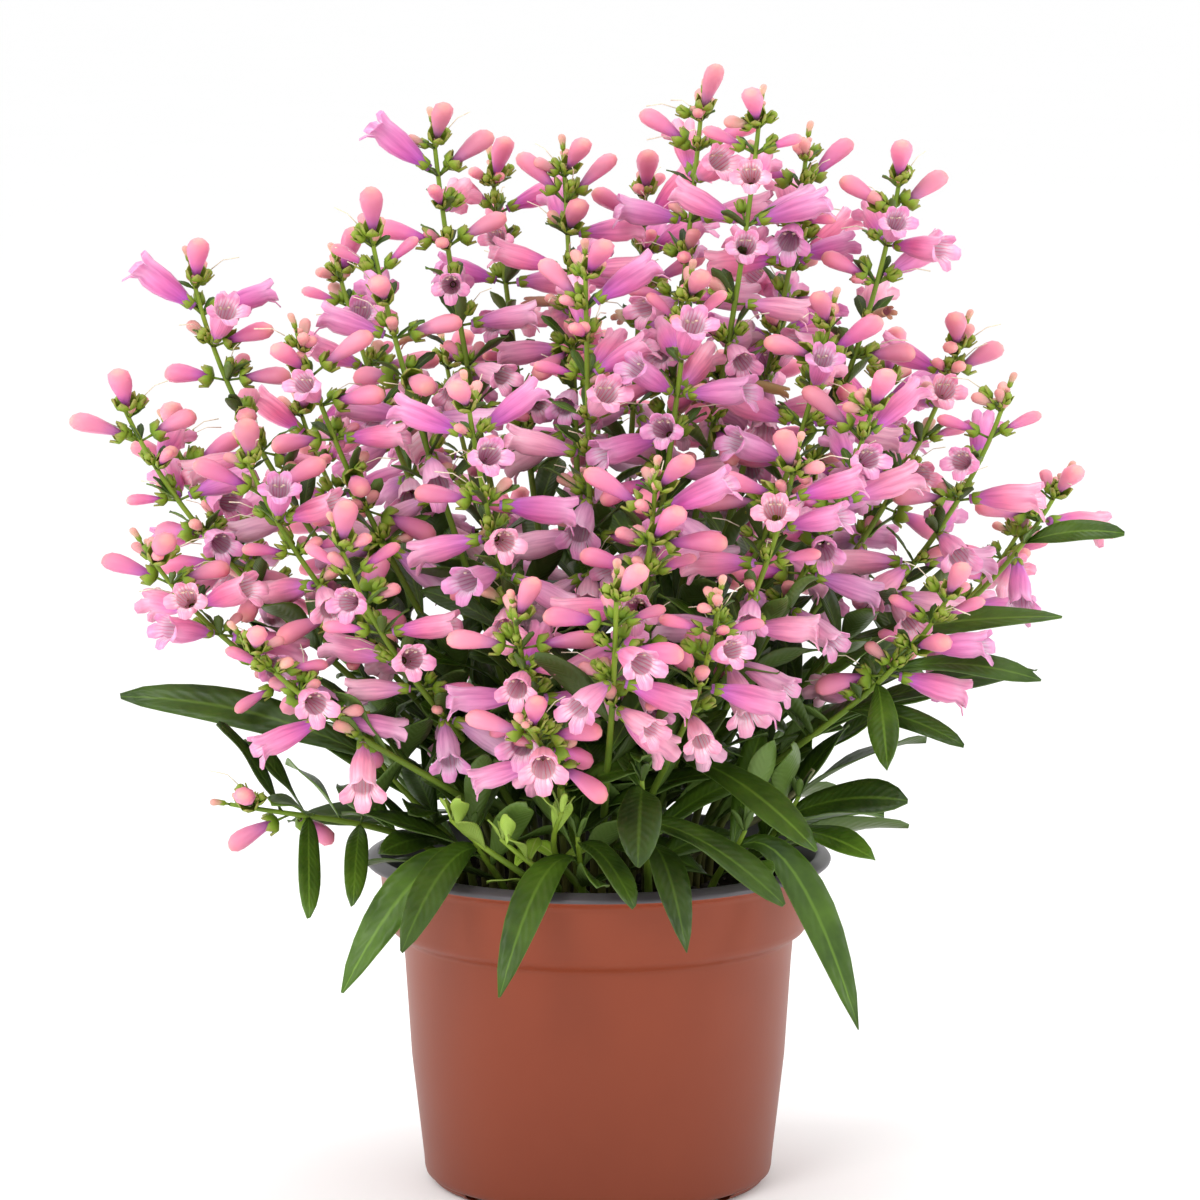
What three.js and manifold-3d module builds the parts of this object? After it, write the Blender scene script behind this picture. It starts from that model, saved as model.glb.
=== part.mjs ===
// A flowering beardlip penstemon in a plastic nursery pot.
// Millimetres, +Z up. The origin is the middle of the footprint, on the ground.

import * as THREE from 'three';
import { mergeVertices } from 'three/addons/utils/BufferGeometryUtils.js';
import Module from 'manifold-3d';

const wasm = await Module();
wasm.setup();

// Driving dimensions of the pot and its soil.
const RIM_RADIUS = 95;
const POT_HEIGHT = 136;
const FLOOR_TOP = 4.6;
const POT_SIDES = 28;
const SOIL_GAP = 0.3;
const SOIL_TOP = 123;
const FOOT_NOTCH_WIDTH = 12;
const FOOT_NOTCH_HEIGHT = 2.9;
const DRAIN_RADIUS = 4.5;
const DRAIN_RING_RADIUS = 45;
const DRAIN_COUNT = 4;

// Driving dimensions of the plant.
const STEM_RADIUS = 2.2;
const SPIKE_RADIUS = 1.1;
const STEM_SIDES = 3;
const CURVE_SAMPLES = 40;
const LONGEST_STRETCH = 40;
const JOINT_GAP = 3;
const ROOT_DEPTH = 12;
const HOLE_GAP = 0.5;
const FLOWER_LENGTH = 30;
const MOUTH_RADIUS = 5.3;
const THROAT_DEPTH = 6;
const BUD_LENGTH = 22;
const BUD_RADIUS = 2.9;
const TIP_BUD_LENGTH = 9;
const TIP_BUD_RADIUS = 1.9;
const PEDICEL_RADIUS = 0.7;
const LEAF_THICKNESS = 1.2;
const LEAF_PLACES = [0.16, 0.5, 0.8];
const SHORT_LEAF = 64;
const SHORT_LEAF_PLACES = [0.18, 0.6];

// Room that is kept between the parts of the plant, and between them and the pot.
const STEM_GAP = 0.35;
const FOOT_SPACING = 7.5;
const STEM_MARGIN = 0.6;
const BLOOM_MARGIN = 0.5;
const LEAF_BALL = 2;
const LEAF_BALL_SPACING = 3.4;
const POT_MARGIN = 0.5;
const ROOT_ZONE = 14;
const LEAF_ROOT_ZONE = 7;
const SEAT_ZONE = 10;
const SEAT_HEIGHT = 2;
const LEAST_FACING = 0.3;
const LEAST_NAMED_FACING = 0.1;
const FLATTEST = -50;
const STEEPEST = 72;

const COLOURS = {
  pot: 0x8f4a38,
  soil: 0x2a211c,
  spike: 0xdd77ab,
  leafy: 0x3d5c2c,
  young: 0x8db63f,
  stump: 0x8a8a55,
};

// Flowering stems seen from the front: tip x, y, z, rows of flowers, lean of the tip.
const FRONT_STEMS = [
  [42, 15, 440, 9, 0.1],
  [64, -28, 439, 9, 0.1],
  [-14, 20, 417, 8, 0.1],
  [-66, 0, 429, 8, 0.1],
  [122, 10, 413, 9, 0.15],
  [163, -20, 325, 7, 0.3],
  [190, 24, 285, 3, 0.5],
  [-163, -5, 374, 8, 0.2],
  [-90, -38, 393, 8, 0.2],
  [-50, -112, 335, 7, 0.3],
  [-5, -62, 381, 9, 0.2],
  [22, -132, 305, 7, 0.4],
  [46, -142, 261, 5, 0.4],
  [76, -108, 311, 7, 0.3],
  [108, -78, 331, 7, 0.3],
  [-100, -112, 281, 7, 0.4],
  [-138, -72, 308, 7, 0.4],
  [-190, -24, 323, 7, 0.4],
  [-178, -62, 269, 6, 0.6],
  [-138, -92, 237, 5, 0.7],
  [84, 8, 423, 7, 0.1],
  [92, -48, 361, 7, 0.2],
  [140, -66, 255, 5, 0.5],
  [-26, -154, 212, 4, 2.5],
  [-145, -62, 166, 2, 4],
  [-32, -136, 255, 5, 0.5],
  [36, -62, 373, 8, 0.2],
  [-118, -48, 351, 7, 0.3],
  [150, 40, 345, 7, 0.3],
  [7, -158, 269, 5, 0.3],
];

// Flowering stems behind those, which only the sides and the back show.
const BACK_STEMS = [
  [-44, 62, 411, 8, 0.2],
  [20, 74, 405, 8, 0.2],
  [84, 66, 385, 8, 0.2],
  [-108, 58, 371, 8, 0.3],
  [124, 104, 323, 7, 0.4],
  [66, 128, 329, 7, 0.4],
  [0, 140, 333, 7, 0.4],
  [-66, 128, 329, 7, 0.4],
  [-128, 104, 311, 7, 0.4],
  [-178, 52, 303, 6, 0.4],
  [180, 84, 261, 5, 0.6],
  [-40, 164, 255, 5, 0.6],
  [48, 166, 255, 5, 0.6],
];

// Named leaves on flowering stems: stem, place along it, width, arch, roll, tip x, y, z.
const STEM_LEAVES = [
  [13, 0.3, 14, 12, -30, 84, -118, 158],
  [6, 0.86, 10, 6, -55, 214, 12, 264],
  [5, 0.5, 12, 6, -45, 184, -44, 238],
  [22, 0.55, 12, 10, -35, 176, -26, 214],
  [22, 0.75, 10, 8, -50, 174, -66, 216],
  [22, 0.6, 10, 8, -45, 143, -78, 192],
  [22, 0.7, 12, 6, -20, 112, -96, 186],
  [24, 0.7, 10, 8, 25, -112, -100, 128],
  [24, 0.5, 10, 8, 20, -95, -100, 133],
  [24, 0.8, 10, 8, 45, -149, -70, 200],
];

// Leafy shoots at the crown: foot x, y, top x, y, z, number of leaf pairs, leaf length, width.
const SHOOTS = [
  [-50, -22, -90, -46, 186, 5, 66, 13],
  [-36, -50, -50, -70, 156, 4, 60, 13],
  [-6, -60, -8, -78, 156, 4, 56, 13],
  [20, -60, 17, -98, 182, 4, 56, 13],
  [44, -46, 58, -64, 156, 4, 60, 13],
  [58, -20, 80, -44, 166, 5, 62, 13],
  [60, 12, 86, 18, 166, 5, 76, 15],
  [44, 44, 62, 64, 166, 5, 76, 15],
  [10, 62, 14, 88, 166, 5, 76, 15],
  [-30, 56, -44, 80, 166, 5, 76, 15],
  [-56, 26, -84, 38, 166, 5, 76, 15],
  [-30, -52, -58, -72, 162, 4, 20, 5],
  [-20, -56, -38, -82, 156, 4, 20, 5],
  [-2, -57, -14, -90, 168, 5, 22, 5],
];
const YOUNG_SHOOTS = [11, 12, 13];

// Named leaves on the leafy shoots: shoot, place along it, width, arch, roll, tip x, y, z.
const SHOOT_LEAVES = [
  [0, 0.9, 16, 14, 60, -192, -24, 203],
  [0, 0.96, 12, 6, 40, -112, -84, 214],
  [1, 0.7, 16, 32, 45, -100, -96, 97],
  [1, 0.8, 14, 20, 35, -76, -112, 117],
  [2, 0.6, 14, 38, 20, -38, -126, 102],
  [2, 0.92, 12, 12, 0, 14, -128, 138],
  [3, 0.95, 17, 10, 0, 15, -130, 154],
  [3, 0.45, 13, 26, 0, 34, -122, 119],
  [3, 0.68, 15, 12, -25, 72, -110, 135],
  [4, 0.75, 15, 50, -50, 103, -74, 77],
  [5, 0.8, 16, 8, -50, 122, -66, 168],
  [5, 0.62, 12, 8, -25, 108, -84, 148],
];

// The stump of a stem that was cut off: foot x, y, top x, y, z.
const STUMP = [30, -18, 86, -38, 176];

const UP = new THREE.Vector3(0, 0, 1);
const degrees = THREE.MathUtils.degToRad;

// Repeatable random numbers, so that the plant grows the same way each time.
function makeRandom(seed) {
  let state = seed;
  return () => {
    state = (state * 16807) % 2147483647;
    return state / 2147483647;
  };
}

function direction(azimuth, elevation) {
  const a = degrees(azimuth);
  const e = degrees(elevation);
  return new THREE.Vector3(Math.cos(a) * Math.cos(e), Math.sin(a) * Math.cos(e), Math.sin(e));
}

// Space already taken by the plant, as balls in a grid of cells.
const CELL = 13;
const occupied = new Map();

function cellKey(i, j, k) {
  return (i * 1000 + j) * 1000 + k;
}

function occupy(balls, owner, isStem) {
  for (const [x, y, z, r] of balls) {
    const key = cellKey(Math.floor(x / CELL), Math.floor(y / CELL), Math.floor(z / CELL));
    if (!occupied.has(key)) occupied.set(key, []);
    occupied.get(key).push([x, y, z, r, owner, isStem]);
  }
}

function meets(ball, taken, owner, root) {
  const [x, y, z, r] = ball;
  const [ox, oy, oz, or, other, isStem] = taken;
  if (other === owner) {
    if (!root) return false;
    if (isStem && Math.hypot(ox - root.x, oy - root.y, oz - root.z) < ROOT_ZONE) return false;
  }
  const reach = r + or + (other === owner ? 0 : STEM_GAP);
  return (x - ox) ** 2 + (y - oy) ** 2 + (z - oz) ** 2 < reach * reach;
}

function clearOfPot(x, y, z, r) {
  const radius = Math.hypot(x, y);
  if (z - r > POT_HEIGHT + POT_MARGIN) return true;
  if (radius - r > RIM_RADIUS + POT_MARGIN) return z - r > 2;
  return radius + r < RIM_RADIUS - 8 && z - r > SOIL_TOP + 1;
}

// True where no ball meets the pot, the soil or a part that already stands there.
function isClear(balls, owner, root) {
  for (const ball of balls) {
    const [x, y, z, r] = ball;
    if (!clearOfPot(x, y, z, r)) return false;
    const i = Math.floor(x / CELL);
    const j = Math.floor(y / CELL);
    const k = Math.floor(z / CELL);
    for (let di = -1; di <= 1; di++) {
      for (let dj = -1; dj <= 1; dj++) {
        for (let dk = -1; dk <= 1; dk++) {
          const cell = occupied.get(cellKey(i + di, j + dj, k + dk));
          if (cell && cell.some((taken) => meets(ball, taken, owner, root))) return false;
        }
      }
    }
  }
  return true;
}

// The centre line of a stem: straight up out of the soil, then a cubic curve to the tip.
class StemLine {
  constructor(foot, tip, lean, bow, lift) {
    const outward = new THREE.Vector3(tip.x - foot.x, tip.y - foot.y, 0).normalize();
    const length = tip.distanceTo(foot);
    this.tipWay = outward.clone().multiplyScalar(lean).add(UP).normalize();
    this.side = new THREE.Vector3(-outward.y, outward.x, 0);
    this.foot = foot;
    this.rise = foot.clone().addScaledVector(UP, lift * length).addScaledVector(this.side, bow);
    this.bend = tip.clone().addScaledVector(this.tipWay, -0.42 * length).addScaledVector(this.side, bow);
    this.tip = tip;
    this.samples = [{ point: foot, along: 0 }];
    this.length = 0;
    for (let n = 1; n <= CURVE_SAMPLES; n++) {
      const point = this.at(n / CURVE_SAMPLES);
      this.length += point.distanceTo(this.samples[n - 1].point);
      this.samples.push({ point, along: this.length });
    }
  }

  at(t) {
    const s = 1 - t;
    return new THREE.Vector3()
      .addScaledVector(this.foot, s * s * s)
      .addScaledVector(this.rise, 3 * s * s * t)
      .addScaledVector(this.bend, 3 * s * t * t)
      .addScaledVector(this.tip, t * t * t);
  }

  // The point at a distance along the line from the foot.
  pointAt(distance) {
    const target = Math.min(Math.max(distance, 0), this.length);
    let n = 1;
    while (n < CURVE_SAMPLES && this.samples[n].along < target) n++;
    const before = this.samples[n - 1];
    const after = this.samples[n];
    const share = (target - before.along) / (after.along - before.along);
    return before.point.clone().lerp(after.point, share);
  }

  // The way up the stem there, and the two ways across it.
  frameAt(distance) {
    const way = this.pointAt(distance + 2).sub(this.pointAt(distance - 2)).normalize();
    const normal = new THREE.Vector3().crossVectors(this.side, way).normalize();
    const side = new THREE.Vector3().crossVectors(way, normal);
    return { way, normal, side };
  }

  radiusAt(distance) {
    return STEM_RADIUS + (SPIKE_RADIUS - STEM_RADIUS) * (distance / this.length);
  }

  balls() {
    const list = [];
    const count = Math.ceil(this.length / 3);
    for (let n = 0; n <= count; n++) {
      const distance = (this.length * n) / count;
      const p = this.pointAt(distance);
      if (p.z > SOIL_TOP + 4) list.push([p.x, p.y, p.z, this.radiusAt(distance) + STEM_MARGIN]);
    }
    return list;
  }
}

// Feet stand closer together than tips, and are nudged apart where two would touch.
const feet = [];

function placeFoot(x, y) {
  const foot = new THREE.Vector3(x, y, SOIL_TOP);
  for (let round = 0; round < 200; round++) {
    const near = feet.find((other) => other.distanceTo(foot) < FOOT_SPACING);
    if (!near) break;
    const away = foot.clone().sub(near).normalize();
    foot.addScaledVector(away, 1.5).addScaledVector(new THREE.Vector3(-away.y, away.x, 0), 0.8);
  }
  feet.push(foot);
  return foot;
}

// A stem bows to one side, or rises more or less steeply, until it is clear of the others.
function findLine(name, foot, tip, lean) {
  for (const lift of [0.28, 0.38, 0.2, 0.12]) {
    for (const bow of [0, 7, -7, 14, -14, 21, -21, 28, -28, 35, -35]) {
      const line = new StemLine(foot, tip, lean, bow, lift);
      if (isClear(line.balls(), name, null)) return line;
    }
  }
  throw new Error(`${name} crosses another stem`);
}

const stems = [];

function growStem(name, footX, footY, tip, lean, details) {
  const line = findLine(name, placeFoot(footX, footY), new THREE.Vector3(...tip), lean);
  occupy(line.balls(), name, true);
  const stem = { name, line, joints: [], flowers: [], buds: [], leaves: [], ...details };
  stems.push(stem);
  return stem;
}

// A joint is a place on the stem that flowers, buds or leaves grow from, one to a seat.
// Each of the stem's faces has a seat above the joint and one below it.
function addJoint(stem, wanted) {
  let distance = wanted;
  const isNear = (other) => Math.abs(other.distance - distance) < JOINT_GAP;
  while (stem.joints.some(isNear)) distance -= JOINT_GAP;
  const frame = stem.line.frameAt(distance);
  const seats = [];
  for (let face = 0; face < STEM_SIDES; face++) {
    const angle = (2 * Math.PI * (face + 0.5)) / STEM_SIDES;
    const outward = frame.normal.clone().multiplyScalar(Math.cos(angle));
    outward.addScaledVector(frame.side, Math.sin(angle));
    seats.push({ face, outward, above: true, way: null }, { face, outward, above: false, way: null });
  }
  const joint = { distance, root: stem.line.pointAt(distance), upward: frame.way, seats };
  stem.joints.push(joint);
  return joint;
}

// The free seat on the face that the way leads out of, or nothing where it is taken or faces
// too far aside. Of two seats near each other on one face, the upper one has the steeper way.
function findSeat(stem, joint, way, least) {
  const facing = Math.max(...joint.seats.map((seat) => seat.outward.dot(way)));
  if (facing < least) return null;
  const steepness = joint.upward.dot(way);
  const isRight = (seat) => {
    if (seat.way || seat.outward.dot(way) < facing - 1e-9) return false;
    const height = joint.distance + (seat.above ? 1 : -1);
    return stem.joints.every((other) => other.seats.every((taken) => {
      if (!taken.way || taken.face !== seat.face) return true;
      if (Math.abs(other.distance - joint.distance) > SEAT_ZONE) return true;
      const otherHeight = other.distance + (taken.above ? 1 : -1);
      return height > otherHeight === steepness > other.upward.dot(taken.way);
    }));
  };
  const wanted = joint.seats.filter((seat) => seat.above === steepness > 0);
  const unwanted = joint.seats.filter((seat) => seat.above !== steepness > 0);
  return [...wanted, ...unwanted].find(isRight) || null;
}

// A flower or a bud: a straight axis from the stem, tried at turned and tilted places.
const AXIS_TRIES = [
  [0, 0], [25, 0], [-25, 0], [0, 20], [0, -20], [50, 0], [-50, 0], [25, 25], [-25, 25],
  [25, -25], [-25, -25], [75, 10], [-75, 10], [50, 30], [-50, 30], [50, -30], [-50, -30],
];

function axisBalls(root, way, length, radius, isBud) {
  const list = [];
  for (const share of [0.28, 0.4, 0.52, 0.64, 0.76, 0.88, 0.96]) {
    const p = root.clone().addScaledVector(way, share * length);
    const funnel = PEDICEL_RADIUS + (radius - PEDICEL_RADIUS) * share;
    const spindle = share < 0.6 ? radius * (share / 0.6) : (radius * (1 - share)) / 0.4;
    list.push([p.x, p.y, p.z, (isBud ? spindle : funnel) + BLOOM_MARGIN]);
  }
  return list;
}

function growAxis(stem, joint, azimuth, elevation, length, radius, isBud) {
  for (const [turn, tilt] of AXIS_TRIES) {
    const way = direction(azimuth + turn, Math.max(FLATTEST, Math.min(STEEPEST, elevation + tilt)));
    const seat = findSeat(stem, joint, way, LEAST_FACING);
    const balls = axisBalls(joint.root, way, length, radius, isBud);
    if (seat && isClear(balls, stem.name, joint.root)) {
      occupy(balls, stem.name, false);
      seat.way = way;
      (isBud ? stem.buds : stem.flowers).push({ joint, seat, way, length, radius });
      return;
    }
  }
}

// A leaf blade along a quadratic curve in an upright plane, rolled about its own length.
class LeafLine {
  constructor(root, bend, tip, width, roll) {
    this.root = root;
    this.bend = bend;
    this.tip = tip;
    this.width = width;
    this.roll = degrees(roll);
    this.level = new THREE.Vector3(tip.y - root.y, root.x - tip.x, 0).normalize();
  }

  at(t) {
    const s = 1 - t;
    return new THREE.Vector3()
      .addScaledVector(this.root, s * s)
      .addScaledVector(this.bend, 2 * s * t)
      .addScaledVector(this.tip, t * t);
  }

  wayAt(t) {
    const start = this.bend.clone().sub(this.root).multiplyScalar(1 - t);
    return start.addScaledVector(this.tip.clone().sub(this.bend), t).normalize();
  }

  // The way across the blade, level but for its roll, and the way its upper face looks.
  frameAt(t) {
    const up = new THREE.Vector3().crossVectors(this.level, this.wayAt(t));
    const cos = Math.cos(this.roll);
    const sin = Math.sin(this.roll);
    const side = this.level.clone().multiplyScalar(cos).addScaledVector(up, sin);
    const normal = up.multiplyScalar(cos).addScaledVector(this.level, -sin);
    return { side, normal };
  }

  halfWidthAt(t) {
    const swell = Math.sin(Math.PI * Math.pow(t, 1.15));
    return 0.5 * this.width * Math.pow(Math.max(0, swell), 0.9);
  }

  balls() {
    const list = [];
    const length = this.root.distanceTo(this.bend) + this.bend.distanceTo(this.tip);
    const rows = Math.ceil(length / LEAF_BALL_SPACING);
    for (let n = 1; n <= rows; n++) {
      const t = Math.min(0.99, n / rows);
      const half = this.halfWidthAt(t);
      const { side, normal } = this.frameAt(t);
      const centre = this.at(t).addScaledVector(normal, -0.4);
      const columns = Math.max(1, Math.ceil((2 * half) / LEAF_BALL_SPACING));
      for (let m = 0; m < columns; m++) {
        const offset = columns === 1 ? 0 : half * 0.85 * ((2 * m) / (columns - 1) - 1);
        const p = centre.clone().addScaledVector(side, offset);
        if (p.distanceTo(this.root) > LEAF_ROOT_ZONE) list.push([p.x, p.y, p.z, LEAF_BALL]);
      }
    }
    return list;
  }
}

const LEAF_TRIES = [
  [0, 0], [18, 0], [-18, 0], [0, 14], [0, -14], [36, 0], [-36, 0], [18, 16], [-18, 16],
  [54, 8], [-54, 8], [36, 20], [-36, 20], [18, -16], [-18, -16], [72, 0], [-72, 0],
];

function growLeaf(stem, joint, azimuth, elevation, length, width, droop, roll) {
  for (const [turn, tilt] of LEAF_TRIES) {
    const way = direction(azimuth + turn, elevation + tilt);
    const bend = joint.root.clone().addScaledVector(way, 0.5 * length);
    const tip = joint.root.clone().addScaledVector(way, 0.97 * length).addScaledVector(UP, -droop * length);
    const leaf = new LeafLine(joint.root, bend, tip, width, roll);
    const seat = findSeat(stem, joint, way, LEAST_FACING);
    if (seat && isClear(leaf.balls(), stem.name, joint.root)) {
      occupy(leaf.balls(), stem.name, false);
      seat.way = way;
      stem.leaves.push({ joint, seat, leaf });
      return;
    }
  }
}

function growNamedLeaf(stem, place, width, arch, roll, x, y, z) {
  const joint = addJoint(stem, place * stem.line.length);
  const tip = new THREE.Vector3(x, y, z);
  const bend = joint.root.clone().lerp(tip, 0.45).addScaledVector(UP, arch);
  const leaf = new LeafLine(joint.root, bend, tip, width, roll);
  const seat = findSeat(stem, joint, leaf.wayAt(0), LEAST_NAMED_FACING);
  if (!seat || !isClear(leaf.balls(), stem.name, joint.root)) {
    throw new Error(`leaf of ${stem.name} to ${x},${y},${z} meets something`);
  }
  occupy(leaf.balls(), stem.name, false);
  seat.way = leaf.wayAt(0);
  stem.leaves.push({ joint, seat, leaf });
}

// Flowers stand in opposite pairs, each pair turned a quarter from the last.
function growSpike(stem, index) {
  const random = makeRandom(1009 + 37 * index);
  const start = random() * 360;
  let below = 0;
  for (let row = 1; row <= stem.rows; row++) {
    below += 6 + Math.min(9, 2 * row) + 2 * random();
    const joint = addJoint(stem, stem.line.length - below);
    const ripeness = row / stem.rows;
    const count = row >= 3 && random() < 0.42 ? 3 : 2;
    for (let n = 0; n < count; n++) {
      const azimuth = start + 90 * row + 180 * n + (n === 2 ? 50 : 0) + 40 * (random() - 0.5);
      const elevation = 56 - 76 * ripeness + 30 * (random() - 0.5);
      const choice = random();
      const size = 0.9 + 0.16 * random();
      const isBud = (row === 1 && n === 0) || (row === 2 && choice < 0.3) || choice < 0.1;
      const length = isBud ? BUD_LENGTH * size * (row === 1 ? 0.7 : 1) : FLOWER_LENGTH * size;
      const radius = isBud ? BUD_RADIUS * size * (row === 1 ? 0.8 : 1) : MOUTH_RADIUS * size;
      growAxis(stem, joint, azimuth, elevation, length, radius, isBud);
    }
  }
  stem.flowerStart = stem.line.length - below;
}

// Opposite leaves up the stem below the flowers.
function growStemLeaves(stem, index) {
  const random = makeRandom(5003 + 41 * index);
  const start = random() * 360;
  let along = 22 + 10 * random();
  for (let pair = 0; along < stem.flowerStart - 6 && pair < 4; pair++) {
    const joint = addJoint(stem, along);
    for (let n = 0; n < 2; n++) {
      const azimuth = start + 90 * pair + 180 * n + 30 * (random() - 0.5);
      const elevation = 30 + 26 * random();
      const length = 50 + 26 * random();
      const width = 9.5 + 4 * random();
      growLeaf(stem, joint, azimuth, elevation, length, width, 0.22, 90 * (random() - 0.5));
    }
    along += 24 + 12 * random();
  }
}

// Leaf pairs of a shoot, crowded towards its tip.
function growShootLeaves(stem, index) {
  const random = makeRandom(9001 + 43 * index);
  const start = random() * 360;
  for (let pair = 0; pair < stem.pairs; pair++) {
    const joint = addJoint(stem, stem.line.length * (0.28 + (0.66 * pair) / (stem.pairs - 1)));
    for (let n = 0; n < 2; n++) {
      const azimuth = start + 90 * pair + 180 * n + 40 * (random() - 0.5);
      const elevation = 14 + 12 * pair + 14 * random();
      const length = stem.leafLength * (0.75 + 0.5 * random());
      const width = stem.leafWidth * (0.8 + 0.4 * random());
      growLeaf(stem, joint, azimuth, elevation, length, width, 0.25, 90 * (random() - 0.5));
    }
  }
}

// The plant is laid out first, the plainly seen leaves before the rest: stems and shoots
// bow around what already stands, and a flower or leaf that finds no room isn't grown.
function growShoot([footX, footY, x, y, z, pairs, leafLength, leafWidth], index) {
  const name = `leafy_shoot_${String(index + 1).padStart(2, '0')}`;
  const kind = YOUNG_SHOOTS.includes(index) ? 'young' : 'leafy';
  return growStem(name, footX, footY, [x, y, z], 0.6, { pairs, leafLength, leafWidth, kind });
}

function growFloweringStem([x, y, z, rows, lean], index) {
  const reach = Math.hypot(x, y);
  const lowness = Math.max(0, 250 - z);
  const share = (7 + 0.2 * reach + 0.25 * lowness) / reach;
  const name = `flower_stem_${String(index + 1).padStart(2, '0')}`;
  return growStem(name, x * share, y * share, [x, y, z], lean, { rows, kind: 'spike' });
}

const NAMED_SHOOTS = 6;
const shoots = SHOOTS.slice(0, NAMED_SHOOTS).map(growShoot);
for (const [index, ...leaf] of SHOOT_LEAVES) growNamedLeaf(shoots[index], ...leaf);
growStem('cut_stump', STUMP[0], STUMP[1], STUMP.slice(2), 0.6, { kind: 'stump' });
const spikes = [...FRONT_STEMS, ...BACK_STEMS].map(growFloweringStem);
for (const [index, ...leaf] of STEM_LEAVES) growNamedLeaf(spikes[index], ...leaf);
SHOOTS.slice(NAMED_SHOOTS).forEach((row, n) => shoots.push(growShoot(row, NAMED_SHOOTS + n)));
spikes.forEach(growSpike);
shoots.forEach(growShootLeaves);
spikes.forEach(growStemLeaves);

// A three.js geometry as a solid for cutting, faces outward.
function solidOf(geometry) {
  geometry.deleteAttribute('normal');
  geometry.deleteAttribute('uv');
  const merged = mergeVertices(geometry, 1e-4);
  const position = merged.getAttribute('position');
  const corners = [];
  let volume = 0;
  const a = new THREE.Vector3();
  const b = new THREE.Vector3();
  const c = new THREE.Vector3();
  for (let n = 0; n < merged.index.count; n += 3) {
    const [i, j, k] = [0, 1, 2].map((corner) => merged.index.getX(n + corner));
    if (i === j || j === k || k === i) continue;
    corners.push(i, j, k);
    a.fromBufferAttribute(position, i);
    b.fromBufferAttribute(position, j);
    c.fromBufferAttribute(position, k);
    volume += a.dot(b.cross(c));
  }
  if (volume < 0) corners.reverse();
  return new wasm.Manifold(new wasm.Mesh({
    numProp: 3,
    vertProperties: new Float32Array(position.array),
    triVerts: new Uint32Array(corners),
  }));
}

function geometryOf(solid) {
  const mesh = solid.getMesh();
  const geometry = new THREE.BufferGeometry();
  geometry.setAttribute('position', new THREE.BufferAttribute(mesh.vertProperties, 3));
  geometry.setIndex(new THREE.BufferAttribute(mesh.triVerts, 1));
  return geometry;
}

function meshOf(name, geometry, color, roughness) {
  geometry.computeVertexNormals();
  const material = new THREE.MeshStandardMaterial({ color, roughness, metalness: 0 });
  const mesh = new THREE.Mesh(geometry, material);
  mesh.name = name;
  return mesh;
}

// Points around a centre, turning from the normal towards the side.
function ringAround(centre, { side, normal }, radius, count) {
  const ring = [];
  for (let n = 0; n < count; n++) {
    const angle = (2 * Math.PI * n) / count;
    const point = centre.clone().addScaledVector(normal, radius * Math.cos(angle));
    ring.push(point.addScaledVector(side, radius * Math.sin(angle)));
  }
  return ring;
}

function frameOf(way) {
  const reference = Math.abs(way.z) > 0.9 ? new THREE.Vector3(1, 0, 0) : UP;
  const side = new THREE.Vector3().crossVectors(way, reference).normalize();
  return { side, normal: new THREE.Vector3().crossVectors(side, way) };
}

// How far one ring may run ahead of the other where two are joined, as a share of a turn.
const MOST_SLANT = 0.34;

// True where the line from p to q goes through the triangle a, b, c.
function pierces(p, q, [a, b, c]) {
  const along = q.clone().sub(p);
  const edge1 = b.clone().sub(a);
  const edge2 = c.clone().sub(a);
  const cross = along.clone().cross(edge2);
  const size = edge1.dot(cross);
  if (Math.abs(size) < 1e-9) return false;
  const offset = p.clone().sub(a);
  const u = offset.dot(cross) / size;
  const turned = offset.cross(edge1);
  const v = along.dot(turned) / size;
  const t = edge2.dot(turned) / size;
  return u > 0 && v > 0 && u + v < 1 && t > 0 && t < 1;
}

function goesThrough(one, other) {
  return one.corners.some((corner, n) => {
    const end = (n + 1) % 3;
    if (other.corners.includes(corner) || other.corners.includes(one.corners[end])) return false;
    return pierces(one.points[n], one.points[end], other.points);
  });
}

function crossesItself(sides) {
  return sides.some((one) => sides.some((other) => one !== other && goesThrough(one, other)));
}

// Every order of steps that leads round a ring of n corners and one of m.
function stepOrders(n, m) {
  if (n === 0 || m === 0) return [Array(n + m).fill(n > 0 ? 1 : 0)];
  const first = stepOrders(n - 1, m).map((steps) => [1, ...steps]);
  const second = stepOrders(n, m - 1).map((steps) => [0, ...steps]);
  return [...first, ...second];
}

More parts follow.
